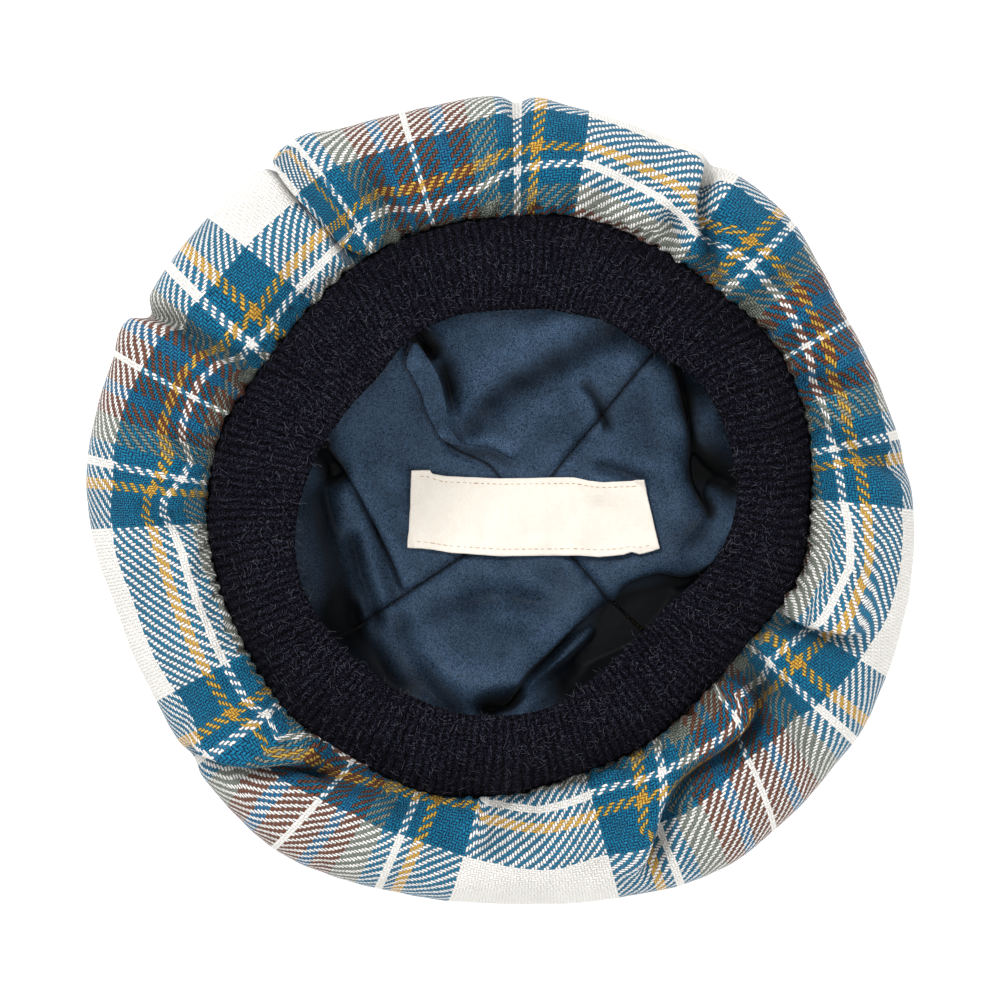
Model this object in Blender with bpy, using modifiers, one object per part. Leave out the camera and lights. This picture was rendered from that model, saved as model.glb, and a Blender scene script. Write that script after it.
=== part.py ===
"""Tam o' shanter lying flat on its crown, with the head opening turned up.

The frame is in metres, +Z up. The origin is on the surface that the hat lies on, at the middle of its
outline. +Z points out of the head opening. All sizes below are in millimetres, and azimuths are in
degrees, counter-clockwise from +X as seen from above.
"""

import math

import bmesh
import bpy
from mathutils import Vector

MM = 0.001
FULL_TURN = 360.0
SEWN_GAP = 0.35

# ---------------------------------------------------------------- the hat's outline

# Radii of the three rings that show from above: the widest rim, the seam between cloth and band, and
# the band's free edge. The columns are azimuth, rim, seam, free_edge.
OUTLINE_STEP = 15.0
OUTLINE_COLUMNS = ("azimuth", "rim", "seam", "free_edge")
OUTLINE = (
    (0, 136.0, 101.0, 75.5),
    (15, 131.0, 103.0, 75.5),
    (30, 129.0, 102.5, 74.0),
    (45, 133.0, 98.0, 68.0),
    (60, 132.0, 96.5, 66.0),
    (75, 131.0, 95.5, 63.0),
    (90, 133.0, 92.0, 60.5),
    (105, 131.5, 91.0, 60.5),
    (120, 135.0, 90.0, 59.0),
    (135, 134.0, 88.0, 55.5),
    (150, 134.0, 88.5, 57.0),
    (165, 136.0, 93.0, 60.0),
    (180, 136.0, 95.0, 64.0),
    (195, 131.5, 95.5, 67.5),
    (210, 131.0, 95.5, 69.0),
    (225, 134.5, 97.5, 68.5),
    (240, 136.5, 96.5, 69.0),
    (255, 133.5, 98.0, 69.0),
    (270, 133.0, 96.0, 69.0),
    (285, 136.0, 93.0, 67.5),
    (300, 141.5, 92.5, 63.5),
    (315, 141.0, 91.5, 62.0),
    (330, 140.5, 93.0, 64.0),
    (345, 138.5, 100.0, 71.5),
)

# ---------------------------------------------------------------- crown side, the gathered strip

CLOTH = 2.0
SIDE_COLUMNS = 156
SEAM_HEIGHT = 40.0
SIDE_MIDDLE = 24.0

# The strip's section from the band seam, over the top and round the rim, to the crown top's seam.
# The columns are outward (0 at the seam, 1 at the rim), height, and fold (how much of each fold
# this row takes).
SIDE_SECTION = (
    (0.00, 40.0, 0.00),
    (0.10, 44.5, 0.85),
    (0.30, 47.5, 1.00),
    (0.56, 45.5, 1.00),
    (0.80, 39.0, 1.00),
    (0.95, 31.0, 0.90),
    (1.00, 22.0, 0.70),
    (0.95, 12.5, 0.35),
    (0.82, 6.0, 0.00),
)

# Folds of the strip. Each runs along a route of (x, y) points from the band outwards. Seen along the
# route, the cloth is raised by rise on the side that side names (1 right, -1 left) and sinks by sink
# along the crease. Width is half the crease, and lean is how far the raised cloth hangs over it.
# The columns are name, route, side, rise, sink, width, lean.
FOLD_COLUMNS = ("name", "route", "side", "rise", "sink", "width", "lean")
FOLDS = (
    ("deep_tuck", ((-46.0, 74.0), (-54.9, 86.8), (-65.5, 98.0), (-75.0, 110.2), (-84.0, 121.0)),
     1, 3.0, 12.0, 5.0, 2.5),
    ("tuck_side_valley", ((-78.9, 42.1), (-96.7, 47.7), (-115.0, 65.8)), 1, 2.5, 5.0, 5.5, 0.0),
    ("top_left_gather", ((-32.6, 82.0), (-37.8, 97.0)), 1, 1.0, 4.0, 3.5, 0.0),
    ("top_crease", ((6.0, 90.0), (6.9, 115.0), (6.6, 131.6)), 1, 1.5, 3.0, 3.5, 0.0),
    ("top_right_gather", ((54.0, 78.0), (55.3, 90.5)), 1, 1.0, 3.5, 3.0, 0.0),
    ("upper_right_fold", ((59.5, 69.0), (62.5, 83.9), (64.5, 100.7), (69.7, 113.0)),
     1, 3.0, 5.5, 4.0, 1.0),
    ("brown_crease", ((78.0, 64.0), (86.2, 70.0), (95.4, 76.0)), -1, 1.0, 4.0, 3.5, 0.0),
    ("star_crease", ((90.0, 48.0), (99.7, 52.6)), 1, 1.0, 3.0, 3.5, 0.0),
    ("right_upper_crease", ((94.0, 35.0), (103.6, 39.5), (111.8, 40.1)), -1, 1.5, 5.0, 3.5, 0.0),
    ("right_crease", ((102.0, 19.9), (115.1, 15.8), (127.0, 10.5)), 1, 1.5, 4.0, 4.0, 0.0),
    ("right_lower_fold", ((89.0, -34.5), (97.0, -37.8), (105.3, -39.5), (113.5, -43.4), (127.0, -48.5)),
     -1, 3.0, 6.5, 5.0, 1.5),
    ("curved_fold", ((70.0, -57.0), (82.2, -68.4), (79.6, -76.3), (71.7, -82.9), (59.9, -92.8),
                     (53.3, -103.6), (47.7, -118.0)), 1, 3.0, 6.0, 6.0, 1.0),
    ("square_valley", ((88.8, -58.2), (95.4, -65.8), (100.3, -77.3)), -1, 1.0, 3.5, 6.0, 0.0),
    ("lower_left_fold", ((-57.0, -79.0), (-63.5, -81.3), (-77.3, -86.2), (-93.8, -85.5), (-103.0, -82.5)),
     1, 3.0, 6.0, 5.0, 1.5),
    ("band_trough", ((-59.9, -90.5), (-51.0, -95.4), (-32.9, -98.7)), 1, 0.5, 3.0, 4.5, 0.0),
    ("bottom_crease", ((-0.5, -95.0), (-3.3, -112.5)), 1, 1.0, 3.0, 3.5, 0.0),
    ("left_crease", ((-92.0, -9.9), (-102.0, -6.6), (-113.0, -2.6)), 1, 1.0, 3.0, 3.5, 0.0),
    ("left_upper_crease", ((-87.0, 12.5), (-102.0, 19.7)), 1, 1.0, 3.5, 3.5, 0.0),
)

# The shape of every fold across its crease, in half widths of the crease: where the raised cloth, the
# crease and the lean have their middles, how wide the first and last of them are, and how far the
# fold runs out past its ends.
RAISED_PLACE = 2.0
RAISED_WIDTH = 1.6
CREASE_PLACE = -0.4
LEAN_PLACE = 1.2
ENDING_WIDTH = 1.5

# Small even gathers where the strip is drawn into the band, fading outwards.
GATHERS = 36
GATHER_HEIGHT = 0.9
GATHER_REACH = 0.35

# ---------------------------------------------------------------- crown top, the round piece

TOP_COLUMNS = 48
# The columns are share of the lower seam's radius, and height of the underside.
TOP_SECTION = (
    (0.00, 0.0),
    (0.50, 0.0),
    (0.86, 0.0),
    (0.94, 1.4),
    (1.00, 4.6),
)
TOP_SETBACK = 1.3

# ---------------------------------------------------------------- band, double rib knit

BAND_HEIGHT = 36.0
BAND_THICKNESS = 4.0
RIBS = 200
RIB_DEPTH = 0.8
COLUMNS_PER_RIB = 2

# The band's closed section, up its outer face from the seam and down its inner face. The columns are
# inward (0 at the seam, 1 at the free edge, as a share of the band's plan width), upward (a share of
# its rise), thicknesses (how many wall thicknesses further in), rib (how much of a rib's depth the
# row takes) and drop (how much of it goes downwards).
BAND_SECTION = (
    (0.00, 0.00, 0.0, 0.6, 0.0),
    (0.36, 0.64, 0.0, 0.5, 1.0),
    (0.97, 1.00, 0.0, 0.5, 1.0),
    (0.93, 0.80, 0.0, 0.0, 0.0),
    (0.00, 0.05, 1.0, 0.0, 0.0),
)

# ---------------------------------------------------------------- lining, four satin panels

SATIN = 1.0
PANEL_STEPS_ROUND = 8
PANEL_STEPS_OUT = 7
PANEL_SEAM_GAP = 0.4
LINING_FLOOR = 3.5
HEM_HEIGHT = 39.9
HEM_INSET = 3.2
BOWL_POWER = 2.6
LINING_CENTRE = Vector((9.9, -3.3))
CENTRE_HOLE = 1.2

# The seams of the lining, counter-clockwise. The columns are the azimuth of the seam's outer end
# and its route of (x, y) points from the centre outwards.
LINING_SEAMS = (
    (45.0, ((18.8, 9.9), (47.7, 45.4))),
    (123.0, ((-2.0, 10.0), (-18.0, 19.7), (-31.3, 51.0))),
    (219.0, ((-11.5, -18.1), (-51.0, -44.4))),
    (317.0, ((22.4, -17.1), (31.9, -28.0))),
)

# Puffs and pockets of the loose lining, each along a line. The columns are x1, y1, x2, y2, height
# and width (half the width of the swell).
LINING_FOLDS = (
    (-52.0, 30.0, -38.0, 44.0, 19.0, 17.0),
    (-4.0, 57.0, 30.0, 56.0, 17.0, 19.0),
    (46.0, 42.0, 60.0, 28.0, 14.0, 14.0),
    (66.0, -19.0, 74.0, -7.0, 14.0, 7.0),
    (-62.0, -8.0, -58.0, -34.0, 17.0, 12.0),
    (-46.0, -52.0, -30.0, -62.0, 8.0, 12.0),
    (-24.0, -54.0, 0.0, -60.0, 18.0, 15.0),
    (54.0, -30.0, 31.0, -56.0, -8.0, 12.0),
    (67.0, 10.0, 69.0, 9.0, -8.0, 8.0),
    (-59.0, 14.0, -57.0, 13.0, -9.0, 7.0),
    (-26.0, 53.0, -25.0, 50.0, -8.0, 6.0),
)
# The swells die out towards the hem as this power of the share of the hem's radius.
SWELL_FADE_POWER = 7.0

# ---------------------------------------------------------------- label

LABEL_CORNERS = ((-30.6, -15.8), (53.0, -16.8), (47.4, 6.3), (-29.3, 9.2))
LABEL_THICKNESS = 1.0
LABEL_STEPS = (14, 4)
LABEL_LIFT = 0.4
# How far round each point of the label the lining below it is felt, and from what height.
FEEL_REACH = 3.0
FEEL_HEIGHT = 100.0

# ---------------------------------------------------------------- finishes

# The columns are colour, roughness and sheen.
FINISHES = {
    "tartan_wool": ((0.22, 0.38, 0.45), 0.90, 0.25),
    "rib_knit": ((0.012, 0.011, 0.020), 0.95, 0.30),
    "satin_lining": ((0.030, 0.055, 0.110), 0.38, 0.10),
    "label_tape": ((0.88, 0.82, 0.72), 0.70, 0.00),
}


# ---------------------------------------------------------------- plain helpers

def smooth_step(share):
    """A soft ramp from 0 to 1."""
    share = min(max(share, 0.0), 1.0)
    return share * share * (3.0 - 2.0 * share)


def polar(radius, azimuth):
    """The plan point at a radius and an azimuth."""
    angle = math.radians(azimuth)
    return Vector((radius * math.cos(angle), radius * math.sin(angle)))


def azimuth_of(x, y):
    return math.degrees(math.atan2(y, x)) % FULL_TURN


def cubic(before, start, end, after, share):
    """A smooth curve through start and end, steered by their neighbours."""
    slope_start = 0.5 * (end - before)
    slope_end = 0.5 * (after - start)
    square = share * share
    cube = square * share
    return ((2.0 * cube - 3.0 * square + 1.0) * start + (cube - 2.0 * square + share) * slope_start
            + (3.0 * square - 2.0 * cube) * end + (cube - square) * slope_end)


def ring_radius(ring, azimuth):
    """The radius of a named ring of the outline at any azimuth."""
    column = OUTLINE_COLUMNS.index(ring)
    place = (azimuth % FULL_TURN) / OUTLINE_STEP
    row = int(place)
    count = len(OUTLINE)
    values = [OUTLINE[(row + step) % count][column] for step in (-1, 0, 1, 2)]
    return cubic(*values, place - row)


def distance_to_segment(point, start, end):
    run = end - start
    share = min(max((point - start).dot(run) / run.length_squared, 0.0), 1.0)
    return (point - start - run * share).length


def distance_to_route(point, route):
    """Where a point lies beside a route.

    Returns the distance, positive on the route's right, how far the point is past either end, and
    the route's right-hand direction there.
    """
    legs = list(zip(route, route[1:]))
    best = None
    for number, (start, end) in enumerate(legs):
        start = Vector(start)
        run = Vector(end) - start
        share = (point - start).dot(run) / run.length_squared
        held = min(max(share, 0.0), 1.0)
        gap = (point - start - run * held).length
        if best is None or gap < best[0]:
            past_first = share < 0.0 and number == 0
            past_last = share > 1.0 and number == len(legs) - 1
            overshoot = abs(share - held) * run.length if past_first or past_last else 0.0
            right = Vector((run.y, -run.x)).normalized()
            best = (gap, overshoot, right, (point - start).dot(right))
    gap, overshoot, right, beside = best
    if overshoot:
        return beside, overshoot, right
    return math.copysign(gap, beside), 0.0, right


def bell(distance, width):
    return math.exp(-(distance / width) ** 2)


# ---------------------------------------------------------------- building helpers

def collection_named(name):
    collection = bpy.data.collections.new(name)
    bpy.context.scene.collection.children.link(collection)
    return collection


def finish_named(name):
    colour, roughness, sheen = FINISHES[name]
    material = bpy.data.materials.new(name)
    material.use_nodes = True
    shader = material.node_tree.nodes["Principled BSDF"]
    shader.inputs["Base Color"].default_value = (*colour, 1.0)
    shader.inputs["Roughness"].default_value = roughness
    shader.inputs["Metallic"].default_value = 0.0
    shader.inputs["Sheen Weight"].default_value = sheen
    return material


def spun_ring(rows, columns, closed_section=False, pole=False):
    """A ring of faces spun from one column of vertices.

    Each vertex keeps its row number as its height until place_rows gives it its real place.
    """
    ring = bmesh.new()
    column = [ring.verts.new((0.0 if pole and row == 0 else 1.0 + row, 0.0, float(row)))
              for row in range(rows)]
    edges = [ring.edges.new(pair) for pair in zip(column, column[1:])]
    if closed_section:
        edges.append(ring.edges.new((column[-1], column[0])))
    bmesh.ops.spin(ring, geom=column + edges, cent=(0.0, 0.0, 0.0), axis=(0.0, 0.0, 1.0),
                   dvec=(0.0, 0.0, 0.0), angle=math.tau, steps=columns, use_merge=True)
    bmesh.ops.remove_doubles(ring, verts=ring.verts[:], dist=0.001)
    return ring


def place_rows(ring, place):
    """Moves each vertex of a spun ring to place(row, azimuth), given in millimetres."""
    for vertex in ring.verts:
        row = round(vertex.co.z)
        vertex.co = Vector(place(row, azimuth_of(vertex.co.x, vertex.co.y))) * MM


def face_towards(surface, direction_at):
    """Turns an open surface so that its faces look along direction_at(centre)."""
    bmesh.ops.recalc_face_normals(surface, faces=surface.faces[:])
    surface.normal_update()
    agreement = sum(face.normal.dot(direction_at(face.calc_center_median())) for face in surface.faces)
    if agreement < 0.0:
        bmesh.ops.reverse_faces(surface, faces=surface.faces[:])


def object_from(surface, name, finish, collection, wall=0.0):
    """A named object with its finish, and a wall behind its face if one is given."""
    mesh = bpy.data.meshes.new(name)
    surface.to_mesh(mesh)
    surface.free()
    mesh.materials.append(finish)
    mesh.shade_smooth()
    piece = bpy.data.objects.new(name, mesh)
    collection.objects.link(piece)
    if wall > 0.0:
        shell = piece.modifiers.new("wall", "SOLIDIFY")
        shell.thickness = wall * MM
        shell.offset = -1.0
        shell.use_rim = True
    return piece


# ---------------------------------------------------------------- crown side

def side_section_point(row, azimuth):
    """Radius and height of the strip's section before any fold."""
    outward, height, _ = SIDE_SECTION[row]
    seam = ring_radius("seam", azimuth) + SEWN_GAP
    rim = ring_radius("rim", azimuth)
    return Vector((seam + outward * (rim - seam), height))


def side_section_normal(row, azimuth):
    """The direction out of the cloth, in the section's plane."""
    before = side_section_point(max(row - 1, 0), azimuth)
    after = side_section_point(min(row + 1, len(SIDE_SECTION) - 1), azimuth)
    run = after - before
    return Vector((-run.y, run.x)).normalized()


def fold_at(point):
    """Height and sideways move that all the folds give the cloth at a plan point."""
    height = 0.0
    move = Vector((0.0, 0.0))
    for row in FOLDS:
        fold = dict(zip(FOLD_COLUMNS, row))
        distance, overshoot, right = distance_to_route(point, fold["route"])
        distance *= fold["side"]
        width = fold["width"]
        ending = bell(overshoot, ENDING_WIDTH * width)
        height += ending * fold["rise"] * bell(distance - RAISED_PLACE * width, RAISED_WIDTH * width)
        height -= ending * fold["sink"] * bell(distance - CREASE_PLACE * width, width)
        lean = ending * fold["lean"] * bell(distance - LEAN_PLACE * width, width)
        move -= right * fold["side"] * lean
    return height, move


def gather_at(row, azimuth):
    outward = SIDE_SECTION[row][0]
    fade = bell(outward, GATHER_REACH)
    return GATHER_HEIGHT * fade * math.cos(math.radians(azimuth) * GATHERS)


def side_place(row, azimuth):
    """The place of one point of the strip's outer face."""
    radius, height = side_section_point(row, azimuth)
    normal = side_section_normal(row, azimuth)
    share = SIDE_SECTION[row][2]
    plan = polar(radius, azimuth)
    depth, move = fold_at(plan)
    depth = (depth + gather_at(row, azimuth)) * share
    plan = plan + polar(normal.x * depth, azimuth) + move * share
    return plan.x, plan.y, height + normal.y * depth


def make_crown_side(finish, collection):
    strip = spun_ring(len(SIDE_SECTION), SIDE_COLUMNS)
    place_rows(strip, side_place)
    middle = Vector((0.0, 0.0, SIDE_MIDDLE * MM))
    face_towards(strip, lambda centre: centre - middle)
    return object_from(strip, "crown_side", finish, collection, wall=CLOTH)


# ---------------------------------------------------------------- crown top

def top_place(row, azimuth):
    """The underside of the round top, which lies on the surface below the hat."""
    share, height = TOP_SECTION[row]
    lower_seam = side_section_point(len(SIDE_SECTION) - 1, azimuth).x
    plan = polar(share * (lower_seam - TOP_SETBACK), azimuth)
    return plan.x, plan.y, height


def make_crown_top(finish, collection):
    disc = spun_ring(len(TOP_SECTION), TOP_COLUMNS, pole=True)
    place_rows(disc, top_place)
    face_towards(disc, lambda centre: Vector((0.0, 0.0, -1.0)))
    return object_from(disc, "crown_top", finish, collection, wall=CLOTH)


# ---------------------------------------------------------------- band

def band_spread(azimuth):
    """The band's plan width and its rise, which its cut height ties together."""
    width = ring_radius("seam", azimuth) - ring_radius("free_edge", azimuth)
    return width, math.sqrt(BAND_HEIGHT ** 2 - width ** 2)


def band_place(row, azimuth):
    """A point of the band's closed section. Every other column lies in the groove between two ribs."""
    width, rise = band_spread(azimuth)
    inward, upward, thicknesses, rib, drop = BAND_SECTION[row]
    radius = ring_radius("seam", azimuth) - inward * width - thicknesses * BAND_THICKNESS
    height = SEAM_HEIGHT + upward * rise
    column = round(azimuth / FULL_TURN * RIBS * COLUMNS_PER_RIB)
    if column % COLUMNS_PER_RIB:
        radius -= rib * RIB_DEPTH
        height -= drop * RIB_DEPTH
    plan = polar(radius, azimuth)
    return plan.x, plan.y, height


def make_rib_band(finish, collection):
    knit = spun_ring(len(BAND_SECTION), RIBS * COLUMNS_PER_RIB, closed_section=True)
    place_rows(knit, band_place)
    bmesh.ops.recalc_face_normals(knit, faces=knit.faces[:])
    return object_from(knit, "rib_band", finish, collection)


# ---------------------------------------------------------------- lining

def hem_point(azimuth):
    return polar(ring_radius("seam", azimuth) - HEM_INSET, azimuth)


def lining_height(point):
    """Height of the lining's upper face at a plan point."""
    hem = ring_radius("seam", azimuth_of(point.x, point.y)) - HEM_INSET
    share = min(point.length / hem, 1.0)
    bowl = LINING_FLOOR + (HEM_HEIGHT - LINING_FLOOR) * share ** BOWL_POWER
    swell = 0.0
    for x1, y1, x2, y2, height, width in LINING_FOLDS:
        swell += height * bell(distance_to_segment(point, Vector((x1, y1)), Vector((x2, y2))), width)
    return max(bowl + swell * (1.0 - share ** SWELL_FADE_POWER), LINING_FLOOR)


def seam_bend(seam, share):
    """How far a lining seam strays from the straight line between its ends."""
    azimuth, route = seam
    end = hem_point(azimuth)
    run = end - LINING_CENTRE
    stations = [(0.0, Vector((0.0, 0.0)))]
    for point in route:
        point = Vector(point)
        station = (point - LINING_CENTRE).dot(run) / run.length_squared
        stations.append((station, point - (LINING_CENTRE + run * station)))
    stations.append((1.0, Vector((0.0, 0.0))))
    for (start, bend_start), (stop, bend_stop) in zip(stations, stations[1:]):
        if share <= stop:
            return bend_start.lerp(bend_stop, smooth_step((share - start) / (stop - start)))
    return Vector((0.0, 0.0))


def panel_point(first, second, across, outward):
    """A plan point of the panel between two seams, 0 to 1 across it and 0 to 1 outwards."""
    start = first[0]
    sweep = (second[0] - start) % FULL_TURN
    azimuth = start + sweep * across
    line = LINING_CENTRE.lerp(hem_point(azimuth), outward)
    return line + seam_bend(first, outward) * (1.0 - across) + seam_bend(second, outward) * across


def make_lining_panel(number, finish, collection):
    first = LINING_SEAMS[number]
    second = LINING_SEAMS[(number + 1) % len(LINING_SEAMS)]
    panel = bmesh.new()
    bmesh.ops.create_grid(panel, x_segments=PANEL_STEPS_ROUND, y_segments=PANEL_STEPS_OUT, size=0.5)
    for vertex in panel.verts:
        across = vertex.co.x + 0.5
        outward = vertex.co.y + 0.5
        length = hem_point(first[0] + 0.5 * ((second[0] - first[0]) % FULL_TURN)).length
        hole = CENTRE_HOLE / length
        outward = hole + (1.0 - hole) * outward
        arc = (panel_point(first, second, 1.0, outward) - panel_point(first, second, 0.0, outward)).length
        inset = 0.5 * PANEL_SEAM_GAP / arc
        across = inset + (1.0 - 2.0 * inset) * across
        plan = panel_point(first, second, across, outward)
        vertex.co = Vector((plan.x, plan.y, lining_height(plan))) * MM
    face_towards(panel, lambda centre: Vector((0.0, 0.0, 1.0)))
    return object_from(panel, f"lining_panel_{number + 1}", finish, collection, wall=SATIN)


# ---------------------------------------------------------------- label

def lining_top(panels, plan):
    """The highest point of the lining panels at and around a plan point."""
    steps = ((0.0, 0.0), (FEEL_REACH, 0.0), (-FEEL_REACH, 0.0), (0.0, FEEL_REACH), (0.0, -FEEL_REACH))
    heights = []
    for step in steps:
        above = Vector((plan.x + step[0], plan.y + step[1], FEEL_HEIGHT)) * MM
        for panel in panels:
            hit, place, _, _ = panel.ray_cast(above, Vector((0.0, 0.0, -1.0)))
            if hit:
                heights.append(place.z / MM)
    return max(heights)


def make_label(panels, finish, collection):
    """The label lies on the lining panels, following their bowl."""
    bpy.context.view_layer.update()
    tape = bmesh.new()
    bmesh.ops.create_grid(tape, x_segments=LABEL_STEPS[0], y_segments=LABEL_STEPS[1], size=0.5)
    lower_left, lower_right, upper_right, upper_left = (Vector(corner) for corner in LABEL_CORNERS)
    for vertex in tape.verts:
        across = vertex.co.x + 0.5
        upward = vertex.co.y + 0.5
        plan = lower_left.lerp(lower_right, across).lerp(upper_left.lerp(upper_right, across), upward)
        height = lining_top(panels, plan) + LABEL_LIFT + LABEL_THICKNESS
        vertex.co = Vector((plan.x, plan.y, height)) * MM
    face_towards(tape, lambda centre: Vector((0.0, 0.0, 1.0)))
    return object_from(tape, "label", finish, collection, wall=LABEL_THICKNESS)


# ---------------------------------------------------------------- the whole hat

def build():
    for thing in list(bpy.data.objects):
        bpy.data.objects.remove(thing)
    collection = collection_named("tam_o_shanter")
    tartan = finish_named("tartan_wool")
    make_crown_side(tartan, collection)
    make_crown_top(tartan, collection)
    make_rib_band(finish_named("rib_knit"), collection)
    satin = finish_named("satin_lining")
    panels = [make_lining_panel(number, satin, collection) for number in range(len(LINING_SEAMS))]
    make_label(panels, finish_named("label_tape"), collection)


build()
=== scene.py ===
# %% [markdown]
# # A tartan tam o' shanter, lying upturned on its crown
#
# The hat is four kinds of cloth sewn together: a round top and a long gathered strip of brushed
# tartan, a double band of dark rib knit, and a loose satin lining with a bare cream label. The solid
# frame holds each at its true size. This lesson lays fine cloth over those solids, piece by piece.
# Every length below is in millimetres, and every azimuth is in degrees, counter-clockwise from +X as
# seen from above.

# %% The frame
import math

import bmesh
import bpy
import numpy as np
from mathutils import Matrix, Vector


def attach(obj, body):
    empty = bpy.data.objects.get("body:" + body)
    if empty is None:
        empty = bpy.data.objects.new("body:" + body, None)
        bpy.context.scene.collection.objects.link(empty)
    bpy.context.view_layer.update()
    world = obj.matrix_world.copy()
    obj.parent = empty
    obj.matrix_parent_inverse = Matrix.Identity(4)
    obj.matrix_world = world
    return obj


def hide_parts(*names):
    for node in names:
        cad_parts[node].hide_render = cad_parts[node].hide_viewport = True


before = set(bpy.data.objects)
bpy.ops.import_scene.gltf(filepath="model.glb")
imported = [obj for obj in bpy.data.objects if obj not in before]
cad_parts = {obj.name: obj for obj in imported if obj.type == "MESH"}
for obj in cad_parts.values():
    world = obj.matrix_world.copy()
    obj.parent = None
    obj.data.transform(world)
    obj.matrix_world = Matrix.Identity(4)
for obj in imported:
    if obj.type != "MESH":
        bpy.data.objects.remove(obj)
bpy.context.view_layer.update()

MM = 0.001
print("solids:", sorted(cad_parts))

# %% [markdown]
# ## Camera
#
# The hat is seen from straight above, from far enough away that the raised band hides little of the
# cloth round it. A long lens on a camera that looks down -Z, with +Y up, gives that view. A camera
# that is left unturned looks down already, so only its height is set.

# %% Camera
CAMERA_HEIGHT = 1424.0
CAMERA_LENS = 153.2
SENSOR_WIDTH = 36.0


def placed(name, data):
    """A new object in the scene, at its origin, that shows a mesh, a curve, a light or a camera."""
    thing = bpy.data.objects.new(name, data)
    bpy.context.scene.collection.objects.link(thing)
    return thing


camera = placed("camera", bpy.data.cameras.new("camera"))
camera.data.sensor_width = SENSOR_WIDTH
camera.data.lens = CAMERA_LENS
camera.location = (0.0, 0.0, CAMERA_HEIGHT * MM)
bpy.context.scene.camera = camera
print("camera height:", CAMERA_HEIGHT, "mm, lens:", CAMERA_LENS, "mm")

# %% [markdown]
# ## Light
#
# The picture has a bright, almost shadowless ground, a soft light from the upper left, which draws
# the folds, and a weaker one from the front, which shows as a sheen on the satin. Each is an area
# light, one more hangs overhead, and the world adds an even white. A single lamp would leave the far
# side grey. The Standard view keeps the dye colours as they are.

# %% Light
# The columns are name, place, size and power in watts.
LIGHTS = (
    ("key_light", (-700.0, 900.0, 1250.0), 420.0, 18.0),
    ("front_light", (900.0, -1000.0, 1150.0), 600.0, 9.0),
    ("top_light", (0.0, 0.0, 1900.0), 700.0, 12.0),
)
WORLD_STRENGTH = 0.70
WHITE = (1.0, 1.0, 1.0, 1.0)


def area_light(name, place, size, watts):
    """A square light that shines from its place at the hat."""
    data = bpy.data.lights.new(name, "AREA")
    data.size = size * MM
    data.energy = watts
    light = placed(name, data)
    light.location = [length * MM for length in place]
    light.rotation_euler = (-light.location).to_track_quat("-Z", "Y").to_euler()


for row in LIGHTS:
    area_light(*row)
world = bpy.data.worlds.new("studio")
world.use_nodes = True
even_light = world.node_tree.nodes["Background"].inputs
even_light["Color"].default_value = WHITE
even_light["Strength"].default_value = WORLD_STRENGTH
bpy.context.scene.world = world
bpy.context.scene.view_settings.view_transform = "Standard"
print("lights:", [(name, watts) for name, _, _, watts in LIGHTS])

# %% [markdown]
# ## Writing a finish
#
# A finish is a tree of nodes, and a woven one needs a good deal of arithmetic. Wiring Math nodes one
# by one hides the sum, so a small class wraps a socket and lets a plain expression such as
# 1 - height * 0.3 add the nodes. Every other node comes from one method, which takes its kind, its
# settings and what goes into its sockets.

# %% Shader sums
class Wire:
    """A socket of a finish. Sums written with it add their Math nodes."""

    def __init__(self, finish, socket):
        self.finish = finish
        self.socket = socket

    def math(self, operation, *values):
        return self.finish.node("ShaderNodeMath", {"operation": operation}, dict(enumerate(values)))

    def __add__(self, other):
        return self.math("ADD", self, other)

    def __radd__(self, other):
        return self.math("ADD", other, self)

    def __sub__(self, other):
        return self.math("SUBTRACT", self, other)

    def __rsub__(self, other):
        return self.math("SUBTRACT", other, self)

    def __mul__(self, other):
        return self.math("MULTIPLY", self, other)

    def __rmul__(self, other):
        return self.math("MULTIPLY", other, self)

    def __truediv__(self, other):
        return self.math("DIVIDE", self, other)

    def __mod__(self, other):
        return self.math("FLOORED_MODULO", self, other)

    def __pow__(self, other):
        return self.math("POWER", self, other)

    def __lt__(self, other):
        return self.math("LESS_THAN", self, other)

    def __abs__(self):
        return self.math("ABSOLUTE", self)

    def floor(self):
        return self.math("FLOOR", self)

    def held(self, low=0.0, high=1.0):
        """The value, kept between two limits."""
        return self.math("MINIMUM", self.math("MAXIMUM", self, low), high)


print("what a wire can do:", [name for name, part in vars(Wire).items() if callable(part)])

# %% A finish and its nodes
def dyed(red, green, blue):
    """A colour as it looks on a screen, 0 to 255, as the light that a dye gives back."""
    shares = (level / 255.0 for level in (red, green, blue))
    return tuple(((share + 0.055) / 1.055) ** 2.4 if share > 0.04045 else share / 12.92 for share in shares)


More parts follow.
